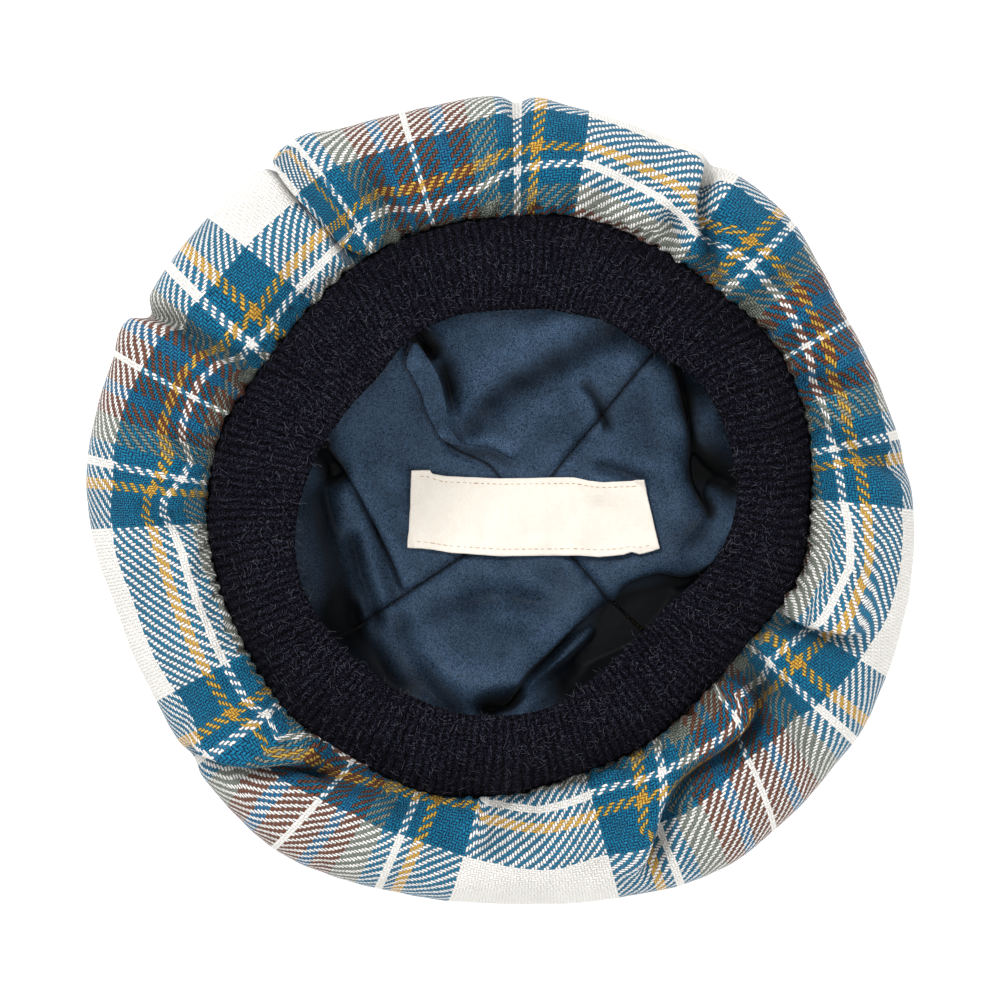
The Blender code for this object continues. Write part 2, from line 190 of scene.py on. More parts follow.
class Finish:
    """A material whose nodes come from expressions."""

    def __init__(self, name, **constants):
        self.material = bpy.data.materials.new(name)
        self.material.use_nodes = True
        self.tree = self.material.node_tree
        self.shader = self.tree.nodes["Principled BSDF"]
        for socket, value in constants.items():
            self.shader.inputs[socket.replace("_", " ")].default_value = value

    def node(self, kind, settings=None, sockets=None, output=0):
        """One node. Its settings go in first, then the values or wires of its sockets."""
        made = self.tree.nodes.new(kind)
        for name, value in (settings or {}).items():
            if name == "stops":
                self.set_stops(made.color_ramp, value)
            elif name == "ramp_steps":
                made.color_ramp.interpolation = value
            else:
                setattr(made, name, value)
        for name, value in (sockets or {}).items():
            self.feed(made.inputs[name], value)
        return Wire(self, made.outputs[output])

    def set_stops(self, ramp, stops):
        while len(ramp.elements) < len(stops):
            ramp.elements.new(1.0)
        for element, (place, colour) in zip(ramp.elements, stops):
            element.position = place
            element.color = (*colour, 1.0)

    def feed(self, socket, value):
        if isinstance(value, Wire):
            self.tree.links.new(value.socket, socket)
        elif socket.type == "RGBA":
            socket.default_value = (*value, 1.0)
        else:
            socket.default_value = value

    def colour(self, colour):
        self.feed(self.shader.inputs["Base Color"], colour)

    def coordinates(self):
        """The place on the hat in metres, so a noise on it counts its clouds per metre."""
        return self.node("ShaderNodeTexCoord", output="Object")

    def cloth_place(self):
        """The place on the uncut cloth, which the piece's own UV map holds."""
        return self.node("ShaderNodeUVMap", {"uv_map": "cloth"})

    def light_taken(self):
        """The light that the cloth takes in its folds, which the piece's own attribute holds."""
        return self.node("ShaderNodeAttribute", {"attribute_name": "light"}, output="Fac")

    def split(self, vector):
        parts = self.node("ShaderNodeSeparateXYZ", sockets={0: vector}).socket.node.outputs
        return [Wire(self, part) for part in parts]

    def vector(self, x, y, z=0.0):
        return self.node("ShaderNodeCombineXYZ", sockets={0: x, 1: y, 2: z})

    def vector_math(self, operation, *values):
        return self.node("ShaderNodeVectorMath", {"operation": operation}, dict(enumerate(values)))

    def noise(self, vector, scale, detail=2.0, roughness=0.5, output="Fac"):
        return self.node("ShaderNodeTexNoise", {}, {"Vector": vector, "Scale": scale, "Detail": detail,
                                                    "Roughness": roughness}, output)

    def mix(self, share, first, second):
        """One colour turning into another."""
        return self.node("ShaderNodeMix", {"data_type": "RGBA"}, {0: share, 6: first, 7: second}, 2)

    def shade(self, colour, level):
        """A colour made darker or lighter by a number."""
        return self.node("ShaderNodeVectorMath", {"operation": "SCALE"}, {0: colour, "Scale": level})

    def scaled_and_moved(self, vector, scale, move):
        """A vector or colour times a number, and then moved by another, the same in each part."""
        return self.vector_math("MULTIPLY_ADD", vector, (scale,) * 3, (move,) * 3)

    def relief(self, height, depth):
        """Raises the surface by height, a share of depth in mm."""
        bump = self.node("ShaderNodeBump", {}, {"Strength": 1.0, "Distance": depth * MM, "Height": height})
        self.feed(self.shader.inputs["Normal"], bump)


def two_tones(name, fineness, first, second, **constants):
    """A plain finish whose colour wanders between two dyes."""
    finish = Finish(name, **constants)
    tone = finish.noise(finish.coordinates(), fineness)
    finish.colour(finish.mix(tone, first, second))
    return finish


print("of the light on it, cream wool gives back", [round(level, 2) for level in dyed(236, 232, 224)])

# %% [markdown]
# ## Floor
#
# The hat lies on a plain white ground that fades into the light. A flat sheet would do with one
# white, but a real backdrop has a faint unevenness, so a very soft noise breaks it up.

# %% Floor
FLOOR_SIZE = 4000.0
FLOOR_DROP = 0.3
FLOOR_GLOW = 0.22
FLOOR_CLOUDS = 2.0


def mesh_from(name, sheet, finish):
    """A mesh with its finish from a bmesh, which is freed."""
    mesh = bpy.data.meshes.new(name)
    sheet.to_mesh(mesh)
    sheet.free()
    mesh.materials.append(finish.material)
    return mesh


def make_floor():
    sheet = bmesh.new()
    bmesh.ops.create_grid(sheet, x_segments=1, y_segments=1, size=0.5 * FLOOR_SIZE * MM)
    bmesh.ops.translate(sheet, verts=sheet.verts[:], vec=(0.0, 0.0, -FLOOR_DROP * MM))
    paper = two_tones("white_ground", FLOOR_CLOUDS, dyed(250, 250, 250), dyed(246, 246, 247),
                      Roughness=0.9, Emission_Color=WHITE, Emission_Strength=FLOOR_GLOW)
    floor = placed("floor", mesh_from("floor", sheet, paper))


make_floor()
print("floor:", FLOOR_SIZE, "mm wide,", FLOOR_DROP, "mm below the hat")

# %% [markdown]
# ## Nets of points and sheets of faces
#
# Cloth is a sheet, and a sheet is a grid whose points have been moved. So each cloth piece below
# works out a net of points, rows by columns, with a formula, and one helper makes the grid, moves its
# points there and keeps beside each corner its place on the uncut cloth. That is the UV map, which
# makes a weave follow the folds. A wall behind the face comes from Solidify.

# %% Sheets
# Points of a net that are nearer to each other than this are one.
WELD = 0.01


def sheet_piece(name, points, finish, facing, flat=None, wall=0.0, light=None):
    """A piece of cloth through a net of points, whose face looks along facing(point).

    Its flat places go into a UV map, and the light that it takes in its folds into an attribute.
    """
    rows, columns = points.shape[:2]
    sheet = bmesh.new()
    cloth = sheet.loops.layers.uv.new("cloth")
    bmesh.ops.create_grid(sheet, x_segments=columns - 1, y_segments=rows - 1, size=0.5)
    spots = [(round((vertex.co.y + 0.5) * (rows - 1)), round((vertex.co.x + 0.5) * (columns - 1)))
             for vertex in sheet.verts]
    sheet.verts.index_update()
    net = (points * MM).tolist()
    if flat is not None:
        places = flat.tolist()
        for face in sheet.faces:
            for corner in face.loops:
                row, column = spots[corner.vert.index]
                corner[cloth].uv = places[row][column]
    if light is not None:
        taken = sheet.verts.layers.float.new("light")
        for vertex, (row, column) in zip(sheet.verts, spots):
            vertex[taken] = float(light[row, column])
    for vertex, (row, column) in zip(sheet.verts, spots):
        vertex.co = net[row][column]
    bmesh.ops.remove_doubles(sheet, verts=sheet.verts[:], dist=WELD * MM)
    return piece_from(name, sheet, finish, facing, wall)


def piece_from(name, sheet, finish, facing, wall=0.0):
    """An object from a bmesh, turned to face outwards, with a wall behind its face if one is given."""
    bmesh.ops.recalc_face_normals(sheet, faces=sheet.faces[:])
    agreement = sum(face.normal.dot(facing(face.calc_center_median())) for face in sheet.faces)
    if agreement < 0.0:
        bmesh.ops.reverse_faces(sheet, faces=sheet.faces[:])
    mesh = mesh_from(name, sheet, finish)
    mesh.shade_smooth()
    piece = placed(name, mesh)
    if wall:
        shell = piece.modifiers.new("wall", "SOLIDIFY")
        shell.thickness = wall * MM
        shell.offset = -1.0
    print(name, "faces:", len(mesh.polygons))
    return piece


def lengths_along(points, axis):
    """How far each point of a net lies along its row or column, following the cloth."""
    steps = np.linalg.norm(np.diff(points, axis=axis), axis=-1)
    start = np.zeros_like(np.take(steps, [0], axis=axis))
    return np.concatenate([start, np.cumsum(steps, axis=axis)], axis=axis)


# %% [markdown]
# ## The hat's outline
#
# From above, three rings show: the wide rim of the puffed cloth, the seam where the cloth is drawn
# into the band, and the band's free edge. None is a true circle. A short table gives each ring every
# 15 degrees, and a cubic curve through it gives the places between, as in the solids.

# %% Outline
OUTLINE_STEP = 15.0
OUTLINE_COLUMNS = ("azimuth", "rim", "seam", "free_edge")
# Steps of a smooth curve between two rows of its table.
CURVE_STEPS = 60
OUTLINE = np.array((
    (0, 136.0, 101.0, 75.5), (15, 131.0, 103.0, 75.5), (30, 129.0, 102.5, 74.0),
    (45, 133.0, 98.0, 68.0), (60, 132.0, 96.5, 66.0), (75, 131.0, 95.5, 63.0),
    (90, 133.0, 92.0, 60.5), (105, 131.5, 91.0, 60.5), (120, 135.0, 90.0, 59.0),
    (135, 134.0, 88.0, 55.5), (150, 134.0, 88.5, 57.0), (165, 136.0, 93.0, 60.0),
    (180, 136.0, 95.0, 64.0), (195, 131.5, 95.5, 67.5), (210, 131.0, 95.5, 69.0),
    (225, 134.5, 97.5, 68.5), (240, 136.5, 96.5, 69.0), (255, 133.5, 98.0, 69.0),
    (270, 133.0, 96.0, 69.0), (285, 136.0, 93.0, 67.5), (300, 141.5, 92.5, 63.5),
    (315, 141.0, 91.5, 62.0), (330, 140.5, 93.0, 64.0), (345, 138.5, 100.0, 71.5),
))


def cubic(before, start, end, after, share):
    """A smooth curve through start and end, steered by their neighbours."""
    slope_start = 0.5 * (end - before)
    slope_end = 0.5 * (after - start)
    square = share * share
    cube = square * share
    return ((2.0 * cube - 3.0 * square + 1.0) * start + (cube - 2.0 * square + share) * slope_start
            + (3.0 * square - 2.0 * cube) * end + (cube - square) * slope_end)


def ring_radius(ring, azimuth):
    """The radius of a named ring at any azimuths."""
    values = OUTLINE[:, OUTLINE_COLUMNS.index(ring)]
    place = np.mod(azimuth, 360.0) / OUTLINE_STEP
    row = np.floor(place).astype(int)
    near = [values[(row + step) % len(values)] for step in (-1, 0, 1, 2)]
    return cubic(*near, place - row)


def smooth_rows(table, count, closed=False, scale=(1.0, 1.0)):
    """Evenly spaced rows on a smooth curve through a table's rows.

    The first two columns, times scale, are the plane in which the spacing is measured.
    """
    table = np.array(table)
    last = len(table) if closed else len(table) - 1
    place = np.linspace(0.0, last, CURVE_STEPS * last + 1)
    row = np.minimum(place.astype(int), last - 1)
    mode = "wrap" if closed else "clip"
    near = [np.take(table, row + step, axis=0, mode=mode) for step in (-1, 0, 1, 2)]
    fine = cubic(*near, (place - row)[:, None])
    steps = np.hypot(*(np.diff(fine[:, :2], axis=0) * scale).T)
    length = np.concatenate([[0.0], np.cumsum(steps)])
    even = np.linspace(0.0, length[-1], count)
    return np.column_stack([np.interp(even, length, column) for column in fine.T])


print("rim from", OUTLINE[:, 1].min(), "to", OUTLINE[:, 1].max(), "mm")

# %% [markdown]
# ## What folds do to cloth
#
# A fold runs along a route. Beside its crease the cloth stands proud on one side, sinks along the
# crease, and may lean over it. Sculpting each by hand would work too, but a table of routes with a
# rise, a sink, a width and a lean is easier to compare with the real hat and to change. The same
# function serves the tartan and the satin. Cloth is never quite even, so plane waves with seeded
# places add soft ripples, and a short table says how large and how high they are.

# %% Folds
# Where the raised side, the crease and the lean lie beside a route, and how wide they are, in widths.
RAISED_PLACE = 2.0
RAISED_WIDTH = 1.6
CREASE_PLACE = -0.4
LEAN_PLACE = 1.2
ENDING_WIDTH = 1.5
ROUTE_STEPS = 6


def bell(distance, width):
    """1 at no distance, falling softly to 0."""
    return np.exp(-(distance / width) ** 2)


def smooth_route(route):
    """More points along a fold's route, so that it bends softly."""
    if len(route) == 2:
        return np.array(route)
    return smooth_rows(route, ROUTE_STEPS * (len(route) - 1) + 1)


def beside_route(x, y, route):
    """How far points lie to the right of a route and past its ends, and its right-hand direction."""
    best = np.full(np.shape(x), np.inf)
    beside, past, right_x, right_y = (np.zeros(np.shape(x)) for _ in range(4))
    last = len(route) - 2
    for number, ((x1, y1), (x2, y2)) in enumerate(zip(route, route[1:])):
        run_x, run_y = x2 - x1, y2 - y1
        length = math.hypot(run_x, run_y)
        share = ((x - x1) * run_x + (y - y1) * run_y) / length ** 2
        held = np.clip(share, 0.0, 1.0)
        gap = np.hypot(x - x1 - run_x * held, y - y1 - run_y * held)
        side = ((x - x1) * run_y - (y - y1) * run_x) / length
        nearer = gap < best
        over = (share < 0.0) & (number == 0) | (share > 1.0) & (number == last)
        best = np.where(nearer, gap, best)
        beside = np.where(nearer, np.where(over, side, np.copysign(gap, side)), beside)
        past = np.where(nearer, np.where(over, np.abs(share - held) * length, 0.0), past)
        right_x = np.where(nearer, run_y / length, right_x)
        right_y = np.where(nearer, -run_x / length, right_y)
    return beside, past, right_x, right_y


def fold_at(x, y, folds):
    """Height and sideways move that a table of folds gives the cloth at plan points."""
    height, move_x, move_y = (np.zeros(np.shape(x)) for _ in range(3))
    for _, route, side, rise, sink, width, lean in folds:
        beside, past, right_x, right_y = beside_route(x, y, smooth_route(route))
        beside = beside * side
        ending = bell(past, ENDING_WIDTH * width)
        height += ending * rise * bell(beside - RAISED_PLACE * width, RAISED_WIDTH * width)
        height -= ending * sink * bell(beside - CREASE_PLACE * width, width)
        leaning = side * ending * lean * bell(beside - LEAN_PLACE * width, width)
        move_x -= right_x * leaning
        move_y -= right_y * leaning
    return height, move_x, move_y


def ripples(x, y, size, seed, waves=14):
    """Soft unevenness about 1 high, from plane waves that run in all directions."""
    chance = np.random.default_rng(seed)
    turns = chance.uniform(0.0, math.tau, waves)
    phases = chance.uniform(0.0, math.tau, waves)
    runs = math.tau / (size * chance.uniform(0.7, 1.5, waves))
    waves_there = [np.cos(run * (x * math.cos(turn) + y * math.sin(turn)) + phase)
                   for turn, phase, run in zip(turns, phases, runs)]
    return sum(waves_there) * math.sqrt(2.0 / waves)


def uneven(x, y, waves, seed):
    """The ripples of a table whose columns are size and height, each row with the next seed."""
    return sum(height * ripples(x, y, size, seed + number) for number, (size, height) in enumerate(waves))


plain_fold = (("plain", ((0.0, -50.0), (0.0, 50.0)), 1, 2.0, 5.0, 4.0, 0.0),)
plain_heights, _, _ = fold_at(np.array([8.0, -1.6]), np.zeros(2), plain_fold)
print("a fold with a rise of 2 and a sink of 5 stands at", np.round(plain_heights, 2), "mm")

# %% [markdown]
# ## The gathered strip
#
# The side of the crown is one long strip. It leaves the band's seam upwards, rolls over in a soft
# puff, and turns under at the rim to meet the round top. A simulation would give some folds, but not
# these, so the section is a smooth curve and the folds come from a table. Each row is one fold of the
# hat: its route outwards from the band, the side that stands proud, and how much it does.

# %% The strip's section and folds
# The columns are the share of the way out from the seam to the rim, height, and the folds' strength.
SIDE_SECTION = (
    (0.00, 40.0, 0.00),
    (0.10, 44.5, 0.85),
    (0.30, 47.5, 1.00),
    (0.56, 46.2, 1.00),
    (0.80, 41.0, 1.00),
    (0.95, 32.5, 0.90),
    (1.00, 22.0, 0.70),
    (0.95, 12.5, 0.35),
    (0.82, 6.0, 0.00),
)
SEWN_GAP = 0.35
PUFF_WIDTH = 38.0
WOOL_WALL = 2.0
STRIP_COLUMNS = 900
STRIP_ROWS = 54
# The azimuth at which the strip's two ends meet, in the deep tuck.
STRIP_JOIN = 123.6

# The columns are name, route, side, rise, sink, width and lean.
STRIP_FOLDS = (
    ("deep_tuck", ((-42.2, 77.3), (-51.1, 90.1), (-61.7, 101.3), (-71.2, 113.5), (-80.2, 124.3)),
     1, 3.0, 12.0, 4.0, 10.0),
    ("tuck_side_valley", ((-76.0, 41.0), (-84.0, 43.5), (-96.7, 48.5), (-108.0, 57.0), (-122.0, 62.0)),
     -1, 2.5, 6.0, 3.6, 2.0),
    ("top_left_gather", ((-27.5, 86.5), (-33.0, 93.0), (-40.2, 102.3)), 1, 1.5, 6.0, 4.0, 0.0),
    ("top_crease", ((6.0, 90.0), (6.9, 115.0), (6.6, 131.6)), 1, 1.5, 3.0, 3.5, 0.0),
    ("top_right_gather", ((55.5, 77.8), (55.4, 90.5)), 1, 1.0, 5.0, 2.6, 0.0),
    ("upper_right_fold", ((66.0, 69.0), (65.0, 84.0), (64.5, 98.0), (67.0, 107.0)),
     -1, 2.5, 7.5, 3.4, 2.5),
    ("brown_crease", ((78.0, 64.0), (86.2, 70.0), (95.4, 76.0)), -1, 1.0, 4.0, 3.5, 0.0),
    ("star_crease", ((90.0, 48.0), (99.7, 52.6)), 1, 1.0, 3.0, 3.5, 0.0),
    ("right_upper_crease", ((94.0, 35.0), (103.6, 39.5), (111.8, 40.1)), -1, 1.5, 5.0, 3.5, 0.0),
    ("right_crease", ((102.0, 19.9), (115.1, 15.8), (127.0, 10.5)), 1, 1.5, 4.0, 4.0, 0.0),
    ("right_lower_fold", ((86.0, -34.0), (94.0, -38.4), (102.0, -40.8), (111.0, -42.6)),
     -1, 3.0, 8.0, 4.0, 5.0),
    ("curved_fold", ((73.0, -55.0), (80.5, -63.0), (81.5, -71.0), (74.0, -79.0), (60.5, -87.5),
                     (53.3, -99.0), (48.7, -115.0)), 1, 3.5, 9.0, 4.5, 4.0),
    ("square_valley", ((83.0, -52.0), (88.8, -58.2), (95.4, -65.8), (100.3, -77.3)),
     -1, 1.5, 4.5, 5.0, 1.0),
    ("lower_left_fold", ((-48.0, -79.0), (-57.5, -82.3), (-68.3, -84.5), (-82.0, -85.5),
                         (-96.0, -82.5)), 1, 3.0, 8.5, 4.0, 5.0),
    ("band_trough", ((-59.9, -86.5), (-46.0, -92.4), (-32.9, -96.7)), 1, 0.5, 5.0, 4.5, 0.0),
    ("bottom_crease", ((-0.5, -95.0), (-3.3, -112.5)), 1, 1.0, 3.0, 3.5, 0.0),
    ("left_crease", ((-92.0, -9.9), (-102.0, -6.6), (-113.0, -2.6)), 1, 1.0, 3.0, 3.5, 0.0),
    ("left_upper_crease", ((-87.0, 12.5), (-102.0, 19.7)), 1, 1.0, 3.5, 3.5, 0.0),
)
GATHERS = 36
GATHER_HEIGHT = 0.9
GATHER_REACH = 0.35
# Unevenness of the gathers' places, of their height and of the cloth. The columns are the size of the
# ripples and their height.
GATHER_WANDER = ((45.0, 2.4),)
GATHER_WAVES = ((20.0, 0.3),)
STRIP_WAVES = ((26.0, 0.8), (9.0, 0.25))
CALM_EDGE = 0.75
# Over the seam the cloth puckers inwards: where, how far either way, by how much, and how unevenly.
PUCKER_PLACE = 0.055
PUCKER_REACH = 0.06
PUCKER_DEPTH = 0.7
PUCKER_WAVES = ((4.5, 0.8),)
# Light lost per mm of a fold's depth, the height below which it is lost, and the most mm above that
# which gain light. Then the light lost beside the band, how far out that reaches, and the limits of
# what is left.
FOLD_SHADE = 0.075
SHADE_FROM = -0.5
SHADE_GAIN = 0.7
BAND_SHADE = (0.35, 0.07)
STRIP_LIGHT = (0.25, 1.05)
print("folds of the strip:", [fold[0] for fold in STRIP_FOLDS])

# %% The strip's net of points
def strip_net():
    """The strip's outer face, rows from the band outwards and columns clockwise, and its light."""
    outward, height, fold_share = smooth_rows(SIDE_SECTION, STRIP_ROWS, scale=(PUFF_WIDTH, 1.0)).T
    azimuth = np.linspace(STRIP_JOIN, STRIP_JOIN - 360.0, STRIP_COLUMNS + 1)
    seam = ring_radius("seam", azimuth) + SEWN_GAP
    rim = ring_radius("rim", azimuth)
    radius = seam + outward[:, None] * (rim - seam)
    height = np.repeat(height[:, None], len(azimuth), axis=1)
    fold_share = fold_share[:, None]

    # The direction out of the cloth, in the plane of the section.
    run_out = np.gradient(radius, axis=0)
    run_up = np.gradient(height, axis=0)
    run = np.hypot(run_out, run_up)
    normal_out, normal_up = -run_up / run, run_out / run

    angle = np.radians(azimuth)
    x, y = radius * np.cos(angle), radius * np.sin(angle)
    depth, move_x, move_y = fold_at(x, y, STRIP_FOLDS)
    share = outward[:, None]
    gathers = np.cos(GATHERS * angle + uneven(x, y, GATHER_WANDER, seed=3))
    gathers *= 1.0 - GATHER_WAVES[0][1] + uneven(x, y, GATHER_WAVES, seed=4)
    depth += GATHER_HEIGHT * bell(share, GATHER_REACH) * gathers
    depth += uneven(x, y, STRIP_WAVES, seed=5) * (1.0 - CALM_EDGE * share ** 2.0)
    depth *= fold_share
    shade, reach = BAND_SHADE
    light = 1.0 + FOLD_SHADE * np.minimum(depth - SHADE_FROM, SHADE_GAIN)
    light = light * (1.0 - shade * bell(share, reach))
    pucker = PUCKER_DEPTH + uneven(x, y, PUCKER_WAVES, seed=8)
    pucker = pucker * bell(share - PUCKER_PLACE, PUCKER_REACH)
    x = x + (normal_out * depth - pucker) * np.cos(angle) + move_x * fold_share
    y = y + (normal_out * depth - pucker) * np.sin(angle) + move_y * fold_share
    points = np.stack([x, y, height + normal_up * depth], axis=-1)
    return points, outward, np.clip(light, *STRIP_LIGHT)


strip_points, strip_outward, strip_light = strip_net()
print("strip net:", strip_points.shape)

# %% [markdown]
# ## Where the tartan lies on the strip
#
# Tartan shows how cloth is gathered: its lines bend with every fold. A flat projection would cut
# straight through them, so the strip gets a map of its own. One table says at which azimuth each line
# of the sett leaves the band and reaches the rim, counted in yarns clockwise round the hat, and one
# says how far out the thin white line runs that goes all the way round. Between lines, yarns are
# spread evenly by the true length of the cloth.

# %% Threads and lines of the sett
# Half of the sett in yarns, from the fine white line on brown to the middle of the white ground.
THREADS = (("white", 1), ("brown", 7), ("blue", 4), ("brown", 7), ("sage", 9), ("teal", 6),
           ("white", 3), ("teal", 4), ("gold", 4), ("teal", 15), ("white", 26))
YARNS = 2 * sum(count for _, count in THREADS)
SETTS_ROUND = 5
YARN = 0.91
# The yarn at the middle of the thin white line that runs round the hat.
RING_YARN = 35.5
TARTAN_MIDDLE = (3.9, -2.3)

# The columns are yarns clockwise from the white line at 105.6 degrees, and that yarn's azimuth at the
# band, halfway out and at the rim, seen from the middle of the tartan.
LINE_SHARES = (0.0, 0.45, 1.0)
LINES_ACROSS = np.array((
    (-62, 123.2, 123.8, 125.0), (-35.5, 118.3, 119.5, 121.3), (0, 105.6, 105.6, 105.6),
    (35.5, 88.9, 89.1, 89.3), (43, 86.6, 86.2, 85.7), (60, 77.9, 78.4, 79.0),
    (112, 55.5, 55.5, 55.5), (129, 48.5, 48.1, 47.5), (136.5, 45.3, 45.3, 45.3),
    (172, 28.8, 28.8, 28.8), (207.5, 10.1, 10.3, 10.6), (232, 1.5, 0.6, -0.4),
    (284, -21.5, -22.9, -24.5), (308.5, -30.4, -32.6, -34.3), (344, -41.0, -46.3, -51.0),
    (379.5, -57.7, -65.2, -66.0), (404, -74.6, -74.6, -74.6), (456, -96.5, -97.7, -99.2),
    (473, -104.4, -105.6, -107.1), (480.5, -108.3, -108.7, -109.2), (516, -122.0, -123.3, -125.0),
    (551.5, -139.7, -140.4, -141.2), (559, -143.0, -143.7, -144.5), (576, -151.3, -151.3, -151.3),
    (628, -177.0, -177.0, -177.0), (645, -182.3, -182.8, -183.3), (652.5, -184.4, -185.3, -186.5),
    (688, -198.1, -199.5, -201.2), (723.5, -211.2, -213.0, -215.1), (731, -216.7, -217.6, -218.8),
    (748, -225.7, -224.5, -223.5), (769, -236.0, -235.3, -234.2), (798, -236.8, -236.2, -235.0),
))

# The thin white line round the hat: azimuth and radius, seen from the middle of the tartan.
WHITE_RING = np.array((
    (-123, 97.5), (-113, 91.7), (-104, 91.4), (-99, 93.3), (-94, 96.2), (-85, 98.5), (-72, 95.9),
    (-64, 97.5), (-57, 99.2), (-45, 100.8), (-41.4, 98.2), (-40, 94.9), (-34.6, 98.8), (-30.4, 97.2),
    (-27, 99.5), (-24, 102.4), (-20, 106.6), (-15, 108.4), (-10, 111.0), (-4.4, 109.5), (1.4, 106.9),
    (13, 105.6), (23, 106.0), (29, 108.6), (36, 110.0), (46, 110.3), (53, 107.6), (56.5, 106.9),
    (60, 108.9), (65, 110.8), (74, 112.8), (78, 113.7), (85, 111.1), (91.4, 107.9), (95, 104.2),
    (98, 102.7), (105.3, 100.5), (109, 101.7), (112.5, 105.0), (117.4, 103.7), (126.6, 100.5),
    (132, 99.2), (144, 97.9), (151, 100.6), (153.7, 105.3), (158, 108.6), (165, 109.9), (168, 109.5),
    (172, 105.0), (175.6, 107.6), (178.7, 112.4), (181, 113.1), (184.4, 109.5), (188, 107.6),
    (201, 105.6), (217, 106.2), (220.5, 103.7), (224.4, 106.3), (228.7, 98.2), (232, 96.2),
))
print("yarns in a sett:", YARNS, "and its width:", round(YARNS * YARN, 1), "mm")

# %% The map of the strip
def around_tartan(points):
    """Azimuth, running on clockwise along each row, and radius seen from the tartan's middle."""
    x = points[..., 0] - TARTAN_MIDDLE[0]
    y = points[..., 1] - TARTAN_MIDDLE[1]
    return np.degrees(np.unwrap(np.arctan2(y, x), axis=1)), np.hypot(x, y)


def yarns_across(points, outward):
    """The yarn number at each point, counted clockwise round the hat.

    Where cloth lies double, the later cloth is on top and takes the lines that show.
    """
    azimuth, _ = around_tartan(points)
    azimuth = np.maximum.accumulate(azimuth[:, ::-1], axis=1)[:, ::-1]
    length = lengths_along(points, axis=1)
    yarns = np.empty_like(azimuth)
    rim_row = int(np.argmax(outward))
    for row, (row_azimuth, row_length) in enumerate(zip(azimuth, length)):
        share = 1.0 if row > rim_row else outward[row]
        lines = [np.interp(share, LINE_SHARES, line[1:]) for line in LINES_ACROSS]
        numbers = LINES_ACROSS[:, 0]
        lines = np.concatenate([[lines[-2] + 360.0], lines[:-1], np.array(lines[:3]) - 360.0])
        numbers = np.concatenate([[numbers[-2] - SETTS_ROUND * YARNS], numbers[:-1],
                                  numbers[:3] + SETTS_ROUND * YARNS])
        ends = np.interp(-row_azimuth[[0, -1]], -lines, numbers)
        inside = (lines < row_azimuth[0]) & (lines > row_azimuth[-1])
        places = np.interp(-lines[inside], -row_azimuth, row_length)
        known = np.concatenate([[0.0], places, row_length[-1:]])
        counts = np.concatenate([ends[:1], numbers[inside], ends[1:]])
        yarns[row] = np.interp(row_length, known, counts)
    return yarns


# Towards the rim the cloth runs straight past the folds, so its count is evened over some columns.
EVEN_COLUMNS = 30
EVEN_YARNS = (2.0, 26.0)
SMALL = 1e-9


def evened(values, reach):
    """Each value's mean with those up to reach places before and after it, without the ends."""
    return np.convolve(values, np.full(2 * reach + 1, 1.0 / (2 * reach + 1)), "valid")


def yarns_outward(points):
    """The yarn number at each point, counted outwards, with the white ring at its own number."""
    azimuth, radius = around_tartan(points)
    length = lengths_along(points, axis=0)
    ring = np.interp(azimuth, *WHITE_RING.T, period=360.0)
    beyond = radius - ring
    crossed = np.argmax(beyond > 0.0, axis=0)
    columns = np.arange(points.shape[1])
    inner = np.maximum(crossed - 1, 0)
    above, below = beyond[crossed, columns], beyond[inner, columns]
    step = np.where(crossed > inner, above / np.maximum(above - below, SMALL), 0.0)
    at_ring = length[crossed, columns] - step * (length[crossed, columns] - length[inner, columns])
    at_ring = np.where(crossed == 0, -beyond[0], at_ring)
    yarns = (length - at_ring) / YARN
    all_round = np.concatenate([yarns[:, -EVEN_COLUMNS - 1:-1], yarns, yarns[:, 1:EVEN_COLUMNS + 1]], axis=1)
    even = np.stack([evened(row, EVEN_COLUMNS) for row in all_round])
    share = np.clip((yarns - EVEN_YARNS[0]) / (EVEN_YARNS[1] - EVEN_YARNS[0]), 0.0, 1.0)
    return RING_YARN + yarns + (even - yarns) * share


def strip_map():
    yarns = np.stack([-yarns_across(strip_points, strip_outward), yarns_outward(strip_points)], axis=-1)
    return yarns / YARNS


strip_flat = strip_map()
strip_length = lengths_along(strip_points, axis=1).max() * MM
strip_width = lengths_along(strip_points, axis=0).mean(axis=1)[-1] * MM
print("strip's own size:", round(strip_length, 3), "by", round(strip_width, 3), "m")

# %% [markdown]
# ## Tartan wool
#
# The cloth is a two by two twill: every yarn passes over two and under two, one step further in each
# row, so a crossing shows the warp's dye or the weft's along diagonals. Painting stripes would miss
# that, so the finish counts yarns. Both counts give a dye from one ramp, and their sum says which of
# the two yarns is on top. The same counts give each float its rounded back and the gaps between, where
# both dyes show under a painted shade. Brushed wool is not crisp, so noises bend the yarns, vary their
# dye and lay pale hairs over them, whose paleness is partly a painted sheen, and the shade painted in
# the folds comes from the strip's own net.

# %% Tartan finish
DYES = {
    "white": dyed(250, 248, 244),
    "teal": dyed(5, 107, 144),
    "gold": dyed(204, 162, 66),
    "sage": dyed(126, 132, 122),
    "brown": dyed(112, 64, 45),
    "blue": dyed(20, 98, 142),
}
# The noises on the wool: fineness per yarn, detail and roughness.
WOOL_NOISES = {
    "wander": (1.1, 3.0, 0.7),
    "tuft": (1.9, 2.0, 0.7),
    "fleck": (3.4, 2.0, 0.7),
    "patch": (0.12, 2.0),
    "hair": (3.1, 2.0, 0.6),
}
YARN_WANDER = 1.2
FLOAT_DEPTH = 0.6
FLOAT_ENDS = 0.6
# How much a float's back, its tufts and a constant cover the gaps between yarns.
YARN_COVER = (2.2, 3.2, -0.5)
TUFT_RELIEF = 0.5
# How strongly flecks and patches vary a dye.
DYE_CONTRAST = (5.0, 0.4)
